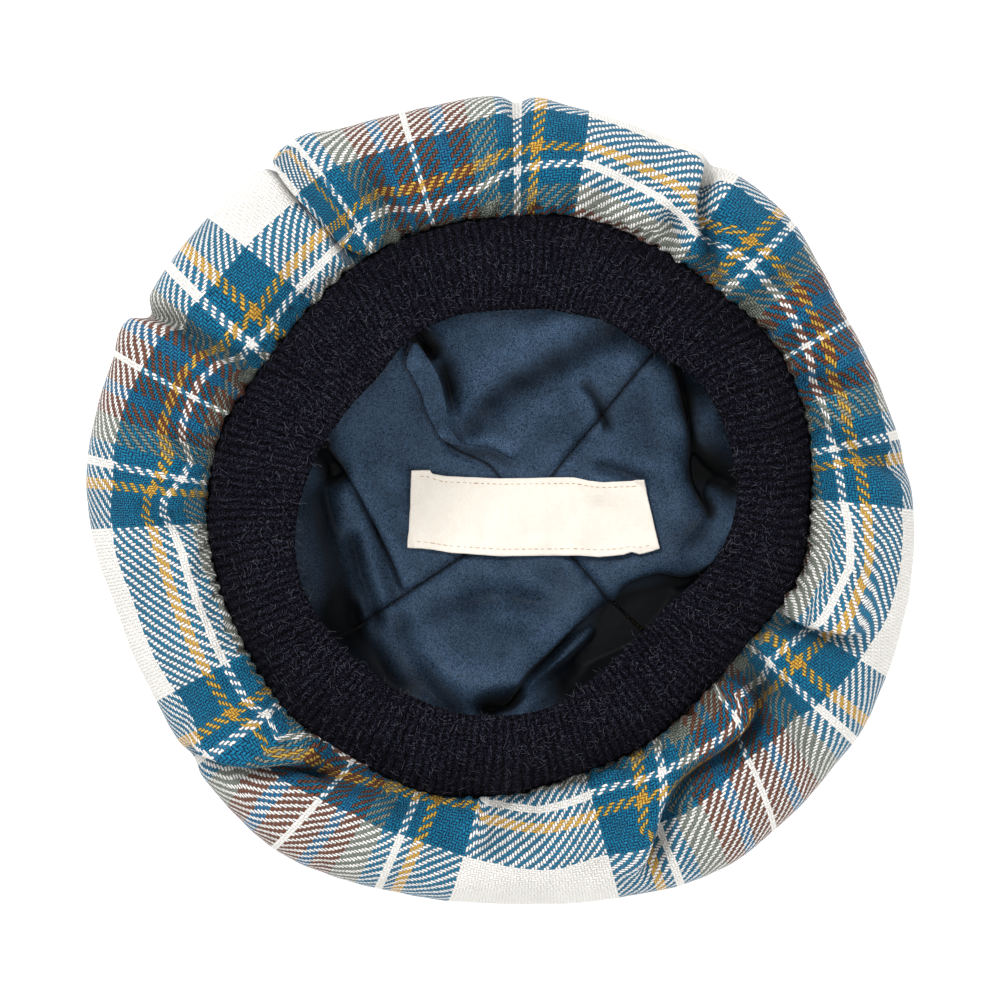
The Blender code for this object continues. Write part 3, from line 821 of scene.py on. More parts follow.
# How a dye darkens between yarns, as a painted shade, and varies at random over them: a share of
# itself, and of its square.
SHADE_BETWEEN_YARNS = (0.04, 0.92)
LOW_FIBRES = (0.27, 0.72)
HIGH_FIBRES = (1.80, -0.80)
# In a gap, how much the darker product of the two dyes counts against their mean, as a painted shade.
GAP_SHADE_SHARE = 0.35
# Pale hairs, their paleness partly a painted sheen: their colour, the noise above which they show, how
# sharply and how much, and where their own noise starts.
HAIR_SHEEN = dyed(160, 196, 205)
FUZZ_SHOWN = (0.57, 6.0, 0.25)
FUZZ_PLACE = (7.3, 2.9, 0.0)


def sett_stops():
    """The sett's dyes as stops of a ramp, from the middle of the white ground to the fine line."""
    stops, done = [], 0
    for dye, count in reversed(THREADS):
        stops.append((2.0 * done / YARNS, DYES[dye]))
        done += count
    return stops


def make_tartan():
    wool = Finish("tartan_wool", Roughness=0.95, Sheen_Weight=0.03, Sheen_Roughness=0.5,
                  Specular_IOR_Level=0.1)
    flat = wool.vector_math("MULTIPLY", wool.cloth_place(), (YARNS, YARNS, 0.0))
    wander = wool.noise(flat, *WOOL_NOISES["wander"], output="Color")
    stray = wool.scaled_and_moved(wander, YARN_WANDER, -0.5 * YARN_WANDER)
    warp_place, weft_place, _ = wool.split(wool.vector_math("ADD", flat, stray))
    warp, weft = warp_place.floor(), weft_place.floor()

    def dye_of(yarn):
        from_ground = abs(((yarn + 0.5) / YARNS + 0.5) % 1.0 - 0.5) * 2.0
        return wool.node("ShaderNodeValToRGB", {"ramp_steps": "CONSTANT", "stops": sett_stops()},
                         {0: 1.0 - from_ground})

    def float_back(across, along):
        """The rounded back of a float two yarns long: 1 at its top, 0 at its edges, low at its ends."""
        return 1.0 - (2.0 * (across % 1.0) - 1.0) ** 2.0 - FLOAT_ENDS * (along - 1.0) ** 4.0

    warp_on_top = (warp + weft) % 4.0 < 2.0
    warp_dye, weft_dye = dye_of(warp), dye_of(weft)
    top_dye = wool.mix(warp_on_top, weft_dye, warp_dye)
    # In a gap both yarns' dyes show, mixed and darkened as a painted shade, so the darker one counts for
    # more.
    both = wool.mix(GAP_SHADE_SHARE, wool.mix(0.5, warp_dye, weft_dye),
                    wool.vector_math("MULTIPLY", warp_dye, weft_dye))

    def spread(dye, shares):
        """A dye times its first share plus its own square times the second."""
        return wool.vector_math("MULTIPLY", dye, wool.scaled_and_moved(dye, shares[1], shares[0]))

    warp_back = float_back(warp_place, (warp + weft_place) % 4.0)
    weft_back = float_back(weft_place, (warp_place + weft) % 4.0 - 2.0)
    back = (warp_on_top * warp_back + (1.0 - warp_on_top) * weft_back).held()
    tuft, fleck, patch = (wool.noise(flat, *WOOL_NOISES[kind]) for kind in ("tuft", "fleck", "patch"))
    by_back, by_tuft, always = YARN_COVER
    cover = (back * by_back + (tuft - 0.5) * by_tuft + always).held()
    by_fleck, by_patch = DYE_CONTRAST
    level = ((fleck - 0.5) * by_fleck + 0.5 + by_patch * (patch - 0.5)).held()
    lit = wool.mix(level, spread(top_dye, LOW_FIBRES), spread(top_dye, HIGH_FIBRES))
    # Where the floats leave gaps, both dyes show there under a painted shade.
    woven = wool.mix(cover, spread(both, SHADE_BETWEEN_YARNS), lit)
    # Pale hairs lie over the weave, their paleness partly a painted sheen.
    least, sharpness, most = FUZZ_SHOWN
    hair = wool.noise(wool.vector_math("ADD", flat, FUZZ_PLACE), *WOOL_NOISES["hair"])
    hair = ((hair - least) * sharpness).held() * most
    wool.colour(wool.shade(wool.mix(hair, woven, HAIR_SHEEN), wool.light_taken()))
    wool.relief(back + TUFT_RELIEF * tuft, FLOAT_DEPTH)
    return wool


tartan = make_tartan()
print("places of the dyes, from the white ground:", [round(place, 2) for place, _ in sett_stops()])

# %% The strip as a piece
MIDDLE_HEIGHT = 24.0


def from_middle(point):
    """The direction from the middle of the puff's ring to a point, roughly out of the cloth."""
    return point - Vector((0.0, 0.0, MIDDLE_HEIGHT * MM))


strip = sheet_piece("tartan_strip", strip_points, tartan, from_middle, strip_flat, WOOL_WALL, strip_light)
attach(strip, "root")
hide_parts("crown_side")

# %% [markdown]
# ## The round top
#
# The hat lies on this disc of the same tartan, so it is seen only from low down and from below. It is
# flat where it rests and turns up at its edge to meet the strip. Its tartan is straight, because the
# disc is cut flat and not gathered.

# %% Round top
# The columns are the share of the way out from the middle to the strip, and height.
TOP_SECTION = ((0.00, 0.0), (0.50, 0.0), (0.86, 0.0), (0.94, 1.4), (1.00, 4.6))
# How far inside the strip's lower edge the top ends.
TOP_SETBACK = 1.3
TOP_COLUMNS = 240
TOP_ROWS = 40
TOP_RADIUS = 113.0


def top_net():
    """The top's lower face, rows from the middle outwards."""
    share, height = smooth_rows(TOP_SECTION, TOP_ROWS, scale=(TOP_RADIUS, 1.0)).T
    azimuth = np.linspace(360.0, 0.0, TOP_COLUMNS + 1)
    seam, rim = ring_radius("seam", azimuth) + SEWN_GAP, ring_radius("rim", azimuth)
    edge = seam + SIDE_SECTION[-1][0] * (rim - seam) - TOP_SETBACK
    radius = share[:, None] * edge
    angle = np.radians(azimuth)
    height = np.repeat(np.maximum(height, 0.0)[:, None], len(azimuth), axis=1)
    return np.stack([radius * np.cos(angle), radius * np.sin(angle), height], axis=-1)


def downwards(point):
    return Vector((0.0, 0.0, -1.0))


top_points = top_net()
top_flat = (top_points[..., :2] - TARTAN_MIDDLE) / (YARN * YARNS)
full_light = np.ones(top_points.shape[:2])
top = sheet_piece("tartan_top", top_points, tartan, downwards, top_flat, WOOL_WALL, full_light)
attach(top, "root")
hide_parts("crown_top")

# %% [markdown]
# ## The knitted band
#
# The band is a rib knit folded double, about 4 mm thick, with a round free edge. It leans inwards over
# the opening. Its closed section is swept round the hat, following the seam and the free edge, and
# each rib is a real ridge. A plain ring with striped bump would look flat where it turns over.

# %% The band's shape
BAND_HEIGHT = 36.0
BAND_THICKNESS = 4.0
SEAM_HEIGHT = 40.0
RIBS = 200
RIB_DEPTH = 0.6
BAND_COLUMNS = 7 * RIBS
BAND_ROWS = 56
# The columns are inward and upward (shares of the band's spread), thicknesses further in, and how
# much of a rib's depth the row takes.
BAND_SECTION = (
    (0.00, 0.00, 0.00, 0.6),
    (0.17, 0.36, 0.00, 1.0),
    (0.36, 0.64, 0.00, 1.0),
    (0.66, 0.87, 0.00, 1.0),
    (0.90, 0.99, 0.00, 1.0),
    (0.985, 0.97, 0.00, 0.9),
    (0.985, 0.86, 0.00, 0.6),
    (0.90, 0.74, 0.05, 0.3),
    (0.45, 0.42, 0.60, 0.2),
    (0.00, 0.06, 1.00, 0.0),
)
BAND_SPREAD = (32.0, 16.0)
# How far out and how far up the band's upper face points.
BAND_FACE = (0.5, 0.85)
RIB_FLATNESS = 0.7
# Wander of the ribs, in ribs, and unevenness of the knit. The columns are size and height.
RIB_WANDER = ((40.0, 0.2), (7.0, 0.06))
BAND_WAVES = ((18.0, 0.35), (4.0, 0.12))


def band_net(rows, azimuth):
    """Points of the band's surface for section rows and azimuths that belong together."""
    inward, upward, thicknesses, rib = rows
    seam, edge = ring_radius("seam", azimuth), ring_radius("free_edge", azimuth)
    width = seam - edge
    rise = np.sqrt(BAND_HEIGHT ** 2 - width ** 2)
    radius = seam - inward * width - thicknesses * BAND_THICKNESS
    height = SEAM_HEIGHT + upward * rise
    angle = np.radians(azimuth)
    x, y = radius * np.cos(angle), radius * np.sin(angle)
    phase = azimuth / 360.0 * RIBS + uneven(x, y, RIB_WANDER, seed=11)
    groove = RIB_DEPTH * rib * (1.0 - np.abs(np.cos(math.pi * phase)) ** RIB_FLATNESS)
    soft = rib * uneven(x, y, BAND_WAVES, seed=13)
    radius = radius + BAND_FACE[0] * (soft - groove)
    height = height + BAND_FACE[1] * (soft - groove)
    return np.stack([radius * np.cos(angle), radius * np.sin(angle), height], axis=-1), phase


band_rows = smooth_rows(BAND_SECTION, BAND_ROWS + 1, closed=True, scale=BAND_SPREAD)
band_azimuth = np.linspace(360.0, 0.0, BAND_COLUMNS + 1)
band_points, band_phase = band_net([column[:, None] for column in band_rows.T], band_azimuth[None, :])
print("band net:", band_points.shape)

# %% [markdown]
# ## Dark rib knit
#
# The yarn is a navy so dark that it looks black, and what gives it away is its fuzz: thousands of
# short fibres that catch a bluish light. The map of the band counts ribs, with the wander of each, so
# the finish can paint shade into the grooves between them and lay a fine speckle of lighter fibres,
# partly a painted highlight, on their tops. Single loops hardly show under the fuzz, so they are a
# faint unevenness along a rib.

# %% Rib knit finish
LOOP_PITCH = 2.1
# The knit's navy, as a painted shade in the grooves and as a painted highlight on the rib tops.
KNIT_SHADED_NAVY = dyed(2, 2, 4)
KNIT_LIT_NAVY = dyed(6, 5, 12)
# Fuzz fibres, lighter than the navy partly as a painted highlight.
LIT_FIBRE = dyed(86, 86, 102)
# The noises on the knit: fineness per metre, detail and roughness.
KNIT_CLUMPS = (1300.0, 2.0, 0.65)
KNIT_PATCHES = (60.0, 2.0)
# How far clumps of fibres blur the edges of the ribs and of the loops.
CLUMP_BLUR = (0.12, 0.5)
# How much a rib's top, a constant, the clumps and the loops raise the knit. The same number mixes the
# painted shade of the grooves with the painted highlight of the tops.
KNIT_RAISED = (1.3, -0.2, 1.2, 0.3)
# Layers of fibres: how fine, how thin and how bright each is, and where its noise starts.
FIBRE_LAYERS = ((1000.0, 16.0, 0.42, (0.0, 0.17, 0.0)), (1900.0, 8.0, 0.55, (0.31, 0.17, 0.05)))
# How much finer the noise is that breaks fibres off, and how sharply it does.
FIBRE_BREAKS = (1.3, 7.0)
# The share of the lit fibres that a groove shows, fewer there as a painted shade, and that a thin
# patch shows.
LIT_FIBRES_IN_GROOVES = 0.35
FIBRES_IN_PATCHES = 0.4
# How much the ribs, the fibres and the clumps count in the relief, and its depth.
KNIT_RELIEF = (0.6, 0.5, 0.3)
KNIT_DEPTH = 0.35


def make_knit():
    knit = Finish("rib_knit", Roughness=1.0, Specular_IOR_Level=0.03)
    phase, along, _ = knit.split(knit.cloth_place())
    place = knit.coordinates()
    clumps = knit.noise(place, *KNIT_CLUMPS)
    patch = knit.noise(place, *KNIT_PATCHES)
    rib_top = abs((phase + CLUMP_BLUR[0] * (clumps - 0.5)) % 1.0 - 0.5) * 2.0
    loop = abs((along / LOOP_PITCH + CLUMP_BLUR[1] * clumps) % 1.0 - 0.5) * 2.0
    by_rib, always, by_clumps, by_loop = KNIT_RAISED
    raised = (rib_top * by_rib + always + by_clumps * (clumps - 0.5) + by_loop * (loop - 0.5)).held()
    shown = 0.0
    for fineness, thinness, strength, start in FIBRE_LAYERS:
        moved = knit.vector_math("ADD", place, start)
        strand = (1.0 - thinness * abs(knit.noise(moved, fineness, 1.0) - 0.5)).held()
        breaks = knit.noise(moved, FIBRE_BREAKS[0] * fineness, 1.0)
        shown = strand * ((breaks - 0.5) * FIBRE_BREAKS[1]).held() * strength + shown
    # Fewer lit fibres show in the grooves, as a painted shade.
    shown = shown * (LIT_FIBRES_IN_GROOVES + (1.0 - LIT_FIBRES_IN_GROOVES) * raised) * (FIBRES_IN_PATCHES + patch)
    # Painted shade and highlight: the grooves take the shaded navy and the rib tops the lit one.
    ground = knit.mix(raised, KNIT_SHADED_NAVY, KNIT_LIT_NAVY)
    knit.colour(knit.mix(shown.held(), ground, LIT_FIBRE))
    by_rib, by_fibre, by_clumps = KNIT_RELIEF
    knit.relief(by_rib * raised + by_fibre * shown + by_clumps * clumps, KNIT_DEPTH)
    return knit


def from_origin(point):
    return point


knit = make_knit()
band_length = lengths_along(band_points, axis=0).mean(axis=1)
band_flat = np.stack(np.broadcast_arrays(band_phase, band_length[:, None]), axis=-1)
band = sheet_piece("knitted_band", band_points, knit, from_origin, band_flat)
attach(band, "root")
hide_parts("rib_band")

# %% [markdown]
# ## Stray fibres
#
# Close to, single hairs stand off the knit and lie across the ribs. They are too fine for the mesh of
# the band and too long for its relief, so they are thin curves of their own, all in one object. Each
# starts on the band's surface, wanders a few millimetres and rises a little on the way.

# %% Stray fibres
HAIRS = 1700
HAIR_POINTS = 5
HAIR_LENGTHS = (1.2, 3.8)
HAIR_RADIUS = 0.03
HAIR_TONES = 400.0
# The part of the band's section that has hairs, and how much they bend, in radians.
HAIR_SHARES = (0.02, 0.56)
HAIR_BEND = 1.1
# A hair's lift over the knit, the share of it at the root, and the half waves of its arch.
HAIR_LIFT = 0.5
HAIR_ROOT = 0.3
HAIR_ARCH = 0.8
# How far the band falls for each mm outwards.
BAND_FALL = 0.5


def strands_piece(name, strands, radius, finish):
    """One object of thin round strands, each through the points of a list in mm."""
    data = bpy.data.curves.new(name, "CURVE")
    data.dimensions = "3D"
    data.bevel_depth = radius * MM
    data.bevel_resolution = 0
    data.use_fill_caps = True
    for strand in strands:
        spline = data.splines.new("POLY")
        spline.points.add(len(strand) - 1)
        for point, spot in zip(spline.points, strand):
            point.co = (*(length * MM for length in spot), 1.0)
    data.materials.append(finish.material)
    return placed(name, data)


def make_hairs():
    chance = np.random.default_rng(21)
    share = chance.uniform(*HAIR_SHARES, HAIRS) * (len(band_rows) - 1)
    azimuth = chance.uniform(0.0, 360.0, HAIRS)
    rows = [np.interp(share, np.arange(len(band_rows)), column) for column in band_rows.T]
    roots, _ = band_net(rows, azimuth)
    lengths = chance.uniform(*HAIR_LENGTHS, HAIRS)
    headings = chance.uniform(0.0, math.tau, HAIRS)
    bends = chance.normal(0.0, HAIR_BEND, HAIRS)
    steps = np.linspace(0.0, 1.0, HAIR_POINTS)
    arch = HAIR_LIFT * (HAIR_ROOT + np.sin(steps * math.pi * HAIR_ARCH))
    strands = []
    for root, length, heading, bend in zip(roots, lengths, headings, bends):
        turn = heading + bend * steps
        x = root[0] + np.cumsum(np.cos(turn)) * length / HAIR_POINTS
        y = root[1] + np.cumsum(np.sin(turn)) * length / HAIR_POINTS
        outward = np.hypot(x, y) - math.hypot(root[0], root[1])
        strands.append(np.stack([x, y, root[2] - BAND_FALL * outward + arch], axis=-1))
    wool = two_tones("stray_fibre", HAIR_TONES, dyed(26, 25, 34), dyed(84, 84, 98), Roughness=0.8,
                     Sheen_Weight=0.2)
    return strands_piece("stray_fibres", strands, HAIR_RADIUS, wool)


hairs = make_hairs()
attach(hairs, "root")
print("stray fibres:", HAIRS)

# %% [markdown]
# ## The lining
#
# The lining is four satin panels, sewn to one another and into the band's seam. It is cut larger than
# the bowl it lies in, so it puffs up in places and sinks into dark pockets. The solids hold the large
# puffs. Here each panel gets them again on a fine net, with the sharper creases that catch the light.
# Satin turns much darker or brighter with its slope, more than its finish alone gives, so the net also
# holds how much light each point takes.

# %% The lining's shape
SATIN_WALL = 0.5
PANEL_STEPS = (110, 100)
PANEL_SEAM_GAP = 0.12
# The bowl: its lowest height, the height of its hem and how far that lies inside the band's seam, how
# sharply it turns up, the middle where the panels meet, the hole left there, and how close to the hem
# the puffs fade out.
LINING_FLOOR = 3.5
HEM_HEIGHT = 39.9
HEM_INSET = 3.2
BOWL_POWER = 2.6
LINING_CENTRE = np.array((9.9, -3.3))
CENTRE_HOLE = 0.6
SWELL_FADE_POWER = 7.0
# Unevenness of the satin, as size and height.
LINING_WAVES = ((11.0, 0.25),)
# Beside a seam: the groove's depth and width, the puckers' height, pitch and reach, and the light
# lost, with how far that reaches.
SEAM_GROOVE = (1.6, 1.4)
SEAM_PUCKER = (0.35, 6.0, 3.0)
SEAM_SHADE = (0.75, 0.8)

# The columns are the azimuth of the seam's outer end and its route from the centre outwards.
LINING_SEAMS = (
    (45.0, ((18.8, 9.9), (47.7, 45.4))),
    (123.0, ((-2.0, 10.0), (-18.0, 19.7), (-31.3, 51.0))),
    (219.0, ((-11.5, -18.1), (-51.0, -44.4))),
    (317.0, ((22.4, -17.1), (31.9, -28.0))),
)
# Puffs and pockets: route, height, width, and the light taken more or less than elsewhere.
LINING_SWELLS = (
    (((-52.0, 30.0), (-38.0, 44.0)), 20.0, 17.0, 0.0),
    (((-4.0, 57.0), (30.0, 56.0)), 20.0, 19.0, 0.1),
    (((22.0, 59.0), (2.0, 46.0), (-10.0, 35.0), (-15.5, 27.0)), 2.5, 5.5, 0.5),
    (((36.0, 55.0), (17.0, 43.5), (2.0, 36.0), (-7.0, 29.0), (-12.4, 22.0)), -4.0, 5.0, -0.5),
    (((42.0, 43.0), (8.0, 26.0)), 2.0, 7.0, 0.15),
    (((-11.0, 20.0), (-4.0, 19.6), (3.0, 16.6)), 1.0, 1.8, 0.45),
    (((-10.0, 15.8), (-3.0, 15.2), (2.0, 12.6)), -1.0, 1.8, -0.45),
    (((46.0, 42.0), (60.0, 28.0)), 14.0, 14.0, -0.12),
    (((67.0, -20.0), (75.0, -8.0)), 14.0, 6.0, 0.4),
    (((-62.0, -8.0), (-58.0, -34.0)), 9.0, 12.0, -0.4),
    (((-24.0, -54.0), (0.0, -60.0)), 18.0, 15.0, 0.0),
    (((-20.0, -40.0), (44.0, -20.0)), 0.0, 20.0, -0.2),
    (((71.0, 34.0), (72.0, 18.0)), 8.0, 6.0, -0.25),
    (((-52.0, -42.0), (-34.0, -62.0)), -9.0, 9.0, -0.85),
    (((62.0, -30.0), (42.0, -41.0)), -17.0, 9.0, -1.1),
    (((42.0, -41.0), (24.0, -61.0)), -15.0, 9.0, -1.1),
    (((67.0, 12.0), (76.0, 6.0)), -18.0, 6.0, -1.1),
    (((-59.0, 16.0), (-55.0, 10.0)), -18.0, 4.5, -1.1),
    (((-27.0, 54.5), (-24.5, 50.0)), -18.0, 3.5, -1.1),
    (((-3.0, -68.0), (2.0, -64.0)), -12.0, 4.0, -1.1),
    (((-60.0, 0.0), (-52.0, -36.0)), -3.0, 6.0, -0.5),
    (((66.0, 42.0), (60.0, 30.0)), -4.0, 5.0, -0.5),
    (((64.0, 4.0), (67.0, -14.0)), -5.0, 6.0, -0.5),
    (((-18.0, 44.0), (-14.0, 34.0)), -4.0, 5.0, -0.5),
)
# The columns are name, route, side, rise, sink, width and lean, as for the strip.
LINING_CREASES = (
    ("allowance_shadow", ((-20.5, 50.0), (-16.5, 40.0), (-14.5, 30.0)), -1, 0.5, 5.0, 3.0, 0.0),
    ("short_crease", ((28.3, 35.8), (31.5, 32.0), (34.5, 25.0)), 1, 1.0, 4.0, 2.0, 0.8),
    ("right_fold", ((57.0, 42.0), (60.2, 30.6), (62.5, 18.0), (63.8, 6.6), (68.0, -3.0)),
     1, 2.0, 10.0, 3.0, 2.5),
    ("middle_fold", ((-12.2, 18.0), (-4.0, 17.4), (2.6, 14.1)), -1, 1.6, 4.0, 1.8, 1.2),
    ("label_crease", ((34.0, 10.0), (40.0, 8.5), (46.0, 6.5)), 1, 0.5, 2.6, 2.0, 0.0),
    ("long_left_edge", ((-56.3, 17.1), (-50.7, 9.2), (-42.1, -6.6), (-35.5, -20.1), (-32.2, -28.3)),
     -1, 1.5, 4.0, 1.2, 1.6),
    ("left_streak", ((-60.0, 2.0), (-57.5, -9.9), (-52.6, -27.3), (-50.0, -40.0)), 1, 2.0, 7.0, 4.0, 0.5),
    ("second_streak", ((-50.0, -14.0), (-48.3, -21.4), (-44.4, -32.9), (-42.0, -39.0)),
     1, 2.0, 6.0, 2.8, 0.6),
    ("third_streak", ((-42.0, -12.0), (-38.5, -24.0), (-36.5, -31.0)), 1, 1.2, 2.5, 2.4, 0.4),
    ("lower_left_edge", ((-30.0, -43.0), (-26.5, -52.0), (-20.4, -60.5), (-15.1, -68.1)),
     -1, 1.5, 6.5, 5.0, 1.0),
    ("lower_right_edge", ((2.0, -66.0), (8.0, -57.0), (16.8, -49.3), (27.3, -39.5), (37.5, -31.9)),
     -1, 1.5, 10.0, 2.4, 3.0),
    ("lower_right_layer", ((4.0, -66.0), (14.0, -58.5), (24.0, -52.0), (34.0, -45.0)),
     -1, 3.5, 3.0, 2.4, 1.0),
    ("right_puff_edge", ((36.5, -30.5), (44.0, -26.5), (53.0, -24.0), (62.0, -25.2), (70.0, -20.0)),
     -1, 1.5, 10.0, 2.4, 3.0),
    ("low_arc", ((-20.0, -36.0), (-6.9, -31.9), (10.0, -32.3)), -1, 1.6, 3.0, 4.0, 0.0),
)
# How many places round a point feel the satin's height there.
FEEL_PLACES = 8
# How far round a point the satin counts as beside it, the share of light lost per mm that the point
# lies below it, and the limits of what is left.
CREASE_REACH = 5.0
CREASE_DARK = 0.2
CREASE_LIMITS = (0.0, 1.2)
# Light lost under the band's free edge, and how far in that reaches.
OPENING_SHADE = (0.4, 6.0)
LIGHT_LIMITS = (0.02, 1.5)


def lining_relief(x, y):
    """Height of the lining's upper face over plan points, and its sideways moves."""
    hem = ring_radius("seam", np.degrees(np.arctan2(y, x))) - HEM_INSET
    share = np.minimum(np.hypot(x, y) / hem, 1.0)
    fade = 1.0 - share ** SWELL_FADE_POWER
    bowl = LINING_FLOOR + (HEM_HEIGHT - LINING_FLOOR) * share ** BOWL_POWER
    swell, move_x, move_y = fold_at(x, y, LINING_CREASES)
    swell = swell + uneven(x, y, LINING_WAVES, seed=31)
    for route, rise, width, _ in LINING_SWELLS:
        swell = swell + rise * swell_share(x, y, route, width)
    return np.maximum(bowl + swell * fade, LINING_FLOOR), move_x * fade, move_y * fade


def swell_share(x, y, route, width):
    """1 along the middle of a puff or pocket, falling softly to 0."""
    beside, past, _, _ = beside_route(x, y, smooth_route(route))
    return bell(np.hypot(beside, past), width)


def lining_height(x, y):
    return lining_relief(x, y)[0]


def around(x, y, reach):
    """Heights of the lining at a ring of places round plan points."""
    turns = np.linspace(0.0, math.tau, FEEL_PLACES, endpoint=False)
    return np.array([lining_height(x + reach * math.cos(turn), y + reach * math.sin(turn))
                     for turn in turns])


def lining_light(x, y):
    """The light that the satin takes: least in pockets and creases, and less beside the band."""
    light = 1.0 + sum(more * swell_share(x, y, route, width) for route, _, width, more in LINING_SWELLS)
    sunk = around(x, y, CREASE_REACH).mean(axis=0) - lining_height(x, y)
    light = light * np.clip(1.0 - CREASE_DARK * sunk, *CREASE_LIMITS)
    edge = ring_radius("free_edge", np.degrees(np.arctan2(y, x)))
    shade, reach = OPENING_SHADE
    light = light * (1.0 - shade * np.exp(np.minimum(np.hypot(x, y) - edge, 0.0) / reach))
    return np.clip(light, *LIGHT_LIMITS)


print("height of the satin where the panels meet:", round(float(lining_height(*LINING_CENTRE)), 1), "mm")

# %% The panels' nets
def hem_point(azimuth):
    """The plan place of the lining's hem, just inside the band's seam."""
    radius = ring_radius("seam", azimuth) - HEM_INSET
    angle = np.radians(azimuth)
    return np.stack([radius * np.cos(angle), radius * np.sin(angle)], axis=-1)


def seam_bend(seam, share):
    """How far a lining seam strays from the straight line between its ends."""
    azimuth, route = seam
    run = hem_point(azimuth) - LINING_CENTRE
    stations, bends = [0.0], [np.zeros(2)]
    for point in route:
        station = (np.array(point) - LINING_CENTRE) @ run / (run @ run)
        stations.append(station)
        bends.append(point - (LINING_CENTRE + run * station))
    stations.append(1.0)
    bends.append(np.zeros(2))
    leg = np.clip(np.searchsorted(stations, share) - 1, 0, len(route))
    starts, stops = np.array(stations)[leg], np.array(stations)[leg + 1]
    part = (share - starts) / (stops - starts)
    part = (part * part * (3.0 - 2.0 * part))[..., None]
    bends = np.array(bends)
    return bends[leg] * (1.0 - part) + bends[leg + 1] * part


def panel_net(number):
    """The points of one panel, rows outwards from the centre, columns from seam to seam."""
    first, second = LINING_SEAMS[number], LINING_SEAMS[(number + 1) % len(LINING_SEAMS)]
    sweep = (second[0] - first[0]) % 360.0
    across = np.linspace(0.0, 1.0, PANEL_STEPS[0] + 1)[None, :]
    outward = np.linspace(0.0, 1.0, PANEL_STEPS[1] + 1)[:, None]
    middle = hem_point(first[0] + 0.5 * sweep) - LINING_CENTRE
    hole = CENTRE_HOLE / np.hypot(*middle)
    outward = hole + (1.0 - hole) * outward
    bend_first, bend_second = seam_bend(first, outward), seam_bend(second, outward)

    def plan_at(share):
        line = LINING_CENTRE + (hem_point(first[0] + sweep * share) - LINING_CENTRE) * outward[..., None]
        return line + bend_first * (1.0 - share[..., None]) + bend_second * share[..., None]

    ends = plan_at(np.array([[0.0, 1.0]]))
    arc = np.linalg.norm(ends[:, 1] - ends[:, 0], axis=-1)[:, None]
    inset = 0.5 * PANEL_SEAM_GAP / arc
    across = inset + (1.0 - 2.0 * inset) * across
    plan = plan_at(across)
    x, y = plan[..., 0], plan[..., 1]
    from_seam = np.minimum(across, 1.0 - across) * arc
    fade = 1.0 - outward ** SWELL_FADE_POWER
    groove = SEAM_GROOVE[0] * bell(from_seam, SEAM_GROOVE[1])
    out_length = outward * np.hypot(*middle)
    rise, pitch, reach = SEAM_PUCKER
    pucker = rise * bell(from_seam, reach) * np.sin(out_length * math.tau / pitch)
    height, move_x, move_y = lining_relief(x, y)
    height = np.maximum(height + (pucker - groove) * fade, LINING_FLOOR)
    light = lining_light(x, y) * (1.0 - SEAM_SHADE[0] * bell(from_seam, SEAM_SHADE[1]))
    return np.stack([x + move_x, y + move_y, height], axis=-1), light


print("points in a panel's net:", (PANEL_STEPS[0] + 1) * (PANEL_STEPS[1] + 1))

# %% [markdown]
# ## Satin
#
# Satin's long floats make it smooth one way, so it shines in broad soft bands along the folds and goes
# dark where it turns away. A mid roughness with a little anisotropy gives the shine, and the net's
# light the bands. Close to, each float is a speck a quarter of a millimetre long that is a little
# lighter or darker than the next. A cloudy noise at that size looks like suede, so the finish floors
# the place on the cloth into cells and gives each one its own chance value.

# %% Satin finish
SATIN_DYE = dyed(68, 90, 115)
SATIN_DEEP = dyed(12, 22, 34)
# Floats per mm along and across the cloth.
SATIN_FLOATS = (4.4, 3.8)
# The noises on the satin: fineness per mm, detail and roughness. A slub is also longer than wide.
SATIN_SLUB = (1.0, 2.0, 0.6)
SLUB_STRETCH = (0.5, 3.0)
SATIN_CLOUD = (0.06, 2.0)
# How much the floats, the slubs, the clouds and a constant brighten the dye.
SATIN_SHARES = (0.9, 0.25, 0.3, -0.22)
SATIN_ROUGHNESS = (0.5, 0.2)
SLUB_DEPTH = 0.1


def make_satin():
    satin = Finish("satin_lining", Roughness=0.6, Specular_IOR_Level=0.1, Sheen_Weight=0.03,
                   Anisotropic=0.3)
    place = satin.cloth_place()
    along, across, _ = satin.split(place)
    floats = satin.vector((along * SATIN_FLOATS[0]).floor(), (across * SATIN_FLOATS[1]).floor())
    grain = satin.node("ShaderNodeTexWhiteNoise", {"noise_dimensions": "2D"}, {"Vector": floats}, "Value")
    slub = satin.noise(satin.vector(along * SLUB_STRETCH[0], across * SLUB_STRETCH[1]), *SATIN_SLUB)
    cloud = satin.noise(place, *SATIN_CLOUD)
    by_grain, by_slub, by_cloud, always = SATIN_SHARES
    share = (grain * by_grain + slub * by_slub + cloud * by_cloud + always).held()
    satin.colour(satin.shade(satin.mix(share, SATIN_DEEP, SATIN_DYE), satin.light_taken()))
    satin.feed(satin.shader.inputs["Roughness"], SATIN_ROUGHNESS[0] + SATIN_ROUGHNESS[1] * grain)
    satin.relief(slub, SLUB_DEPTH)
    return satin


satin = make_satin()
print("floats of satin in a square mm:", round(SATIN_FLOATS[0] * SATIN_FLOATS[1], 1))


# %% The panels as pieces
def upwards(point):
    return Vector((0.0, 0.0, 1.0))


for number in range(len(LINING_SEAMS)):
    points, light = panel_net(number)
    panel = sheet_piece(f"satin_panel_{number + 1}", points, satin, upwards, points[..., :2], SATIN_WALL,
                        light)
    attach(panel, "root")
    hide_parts(f"lining_panel_{number + 1}")

# %% [markdown]
# ## The seam allowance
#
# Along the upper left seam the lining's cut edges have turned out to the inside of the hat, as a
# narrow flap that comes to a point by the label. It is a small sheet of its own between two lines,
# raised a little off the satin. Where it is sewn, small loops of thread stand out beside the seam.

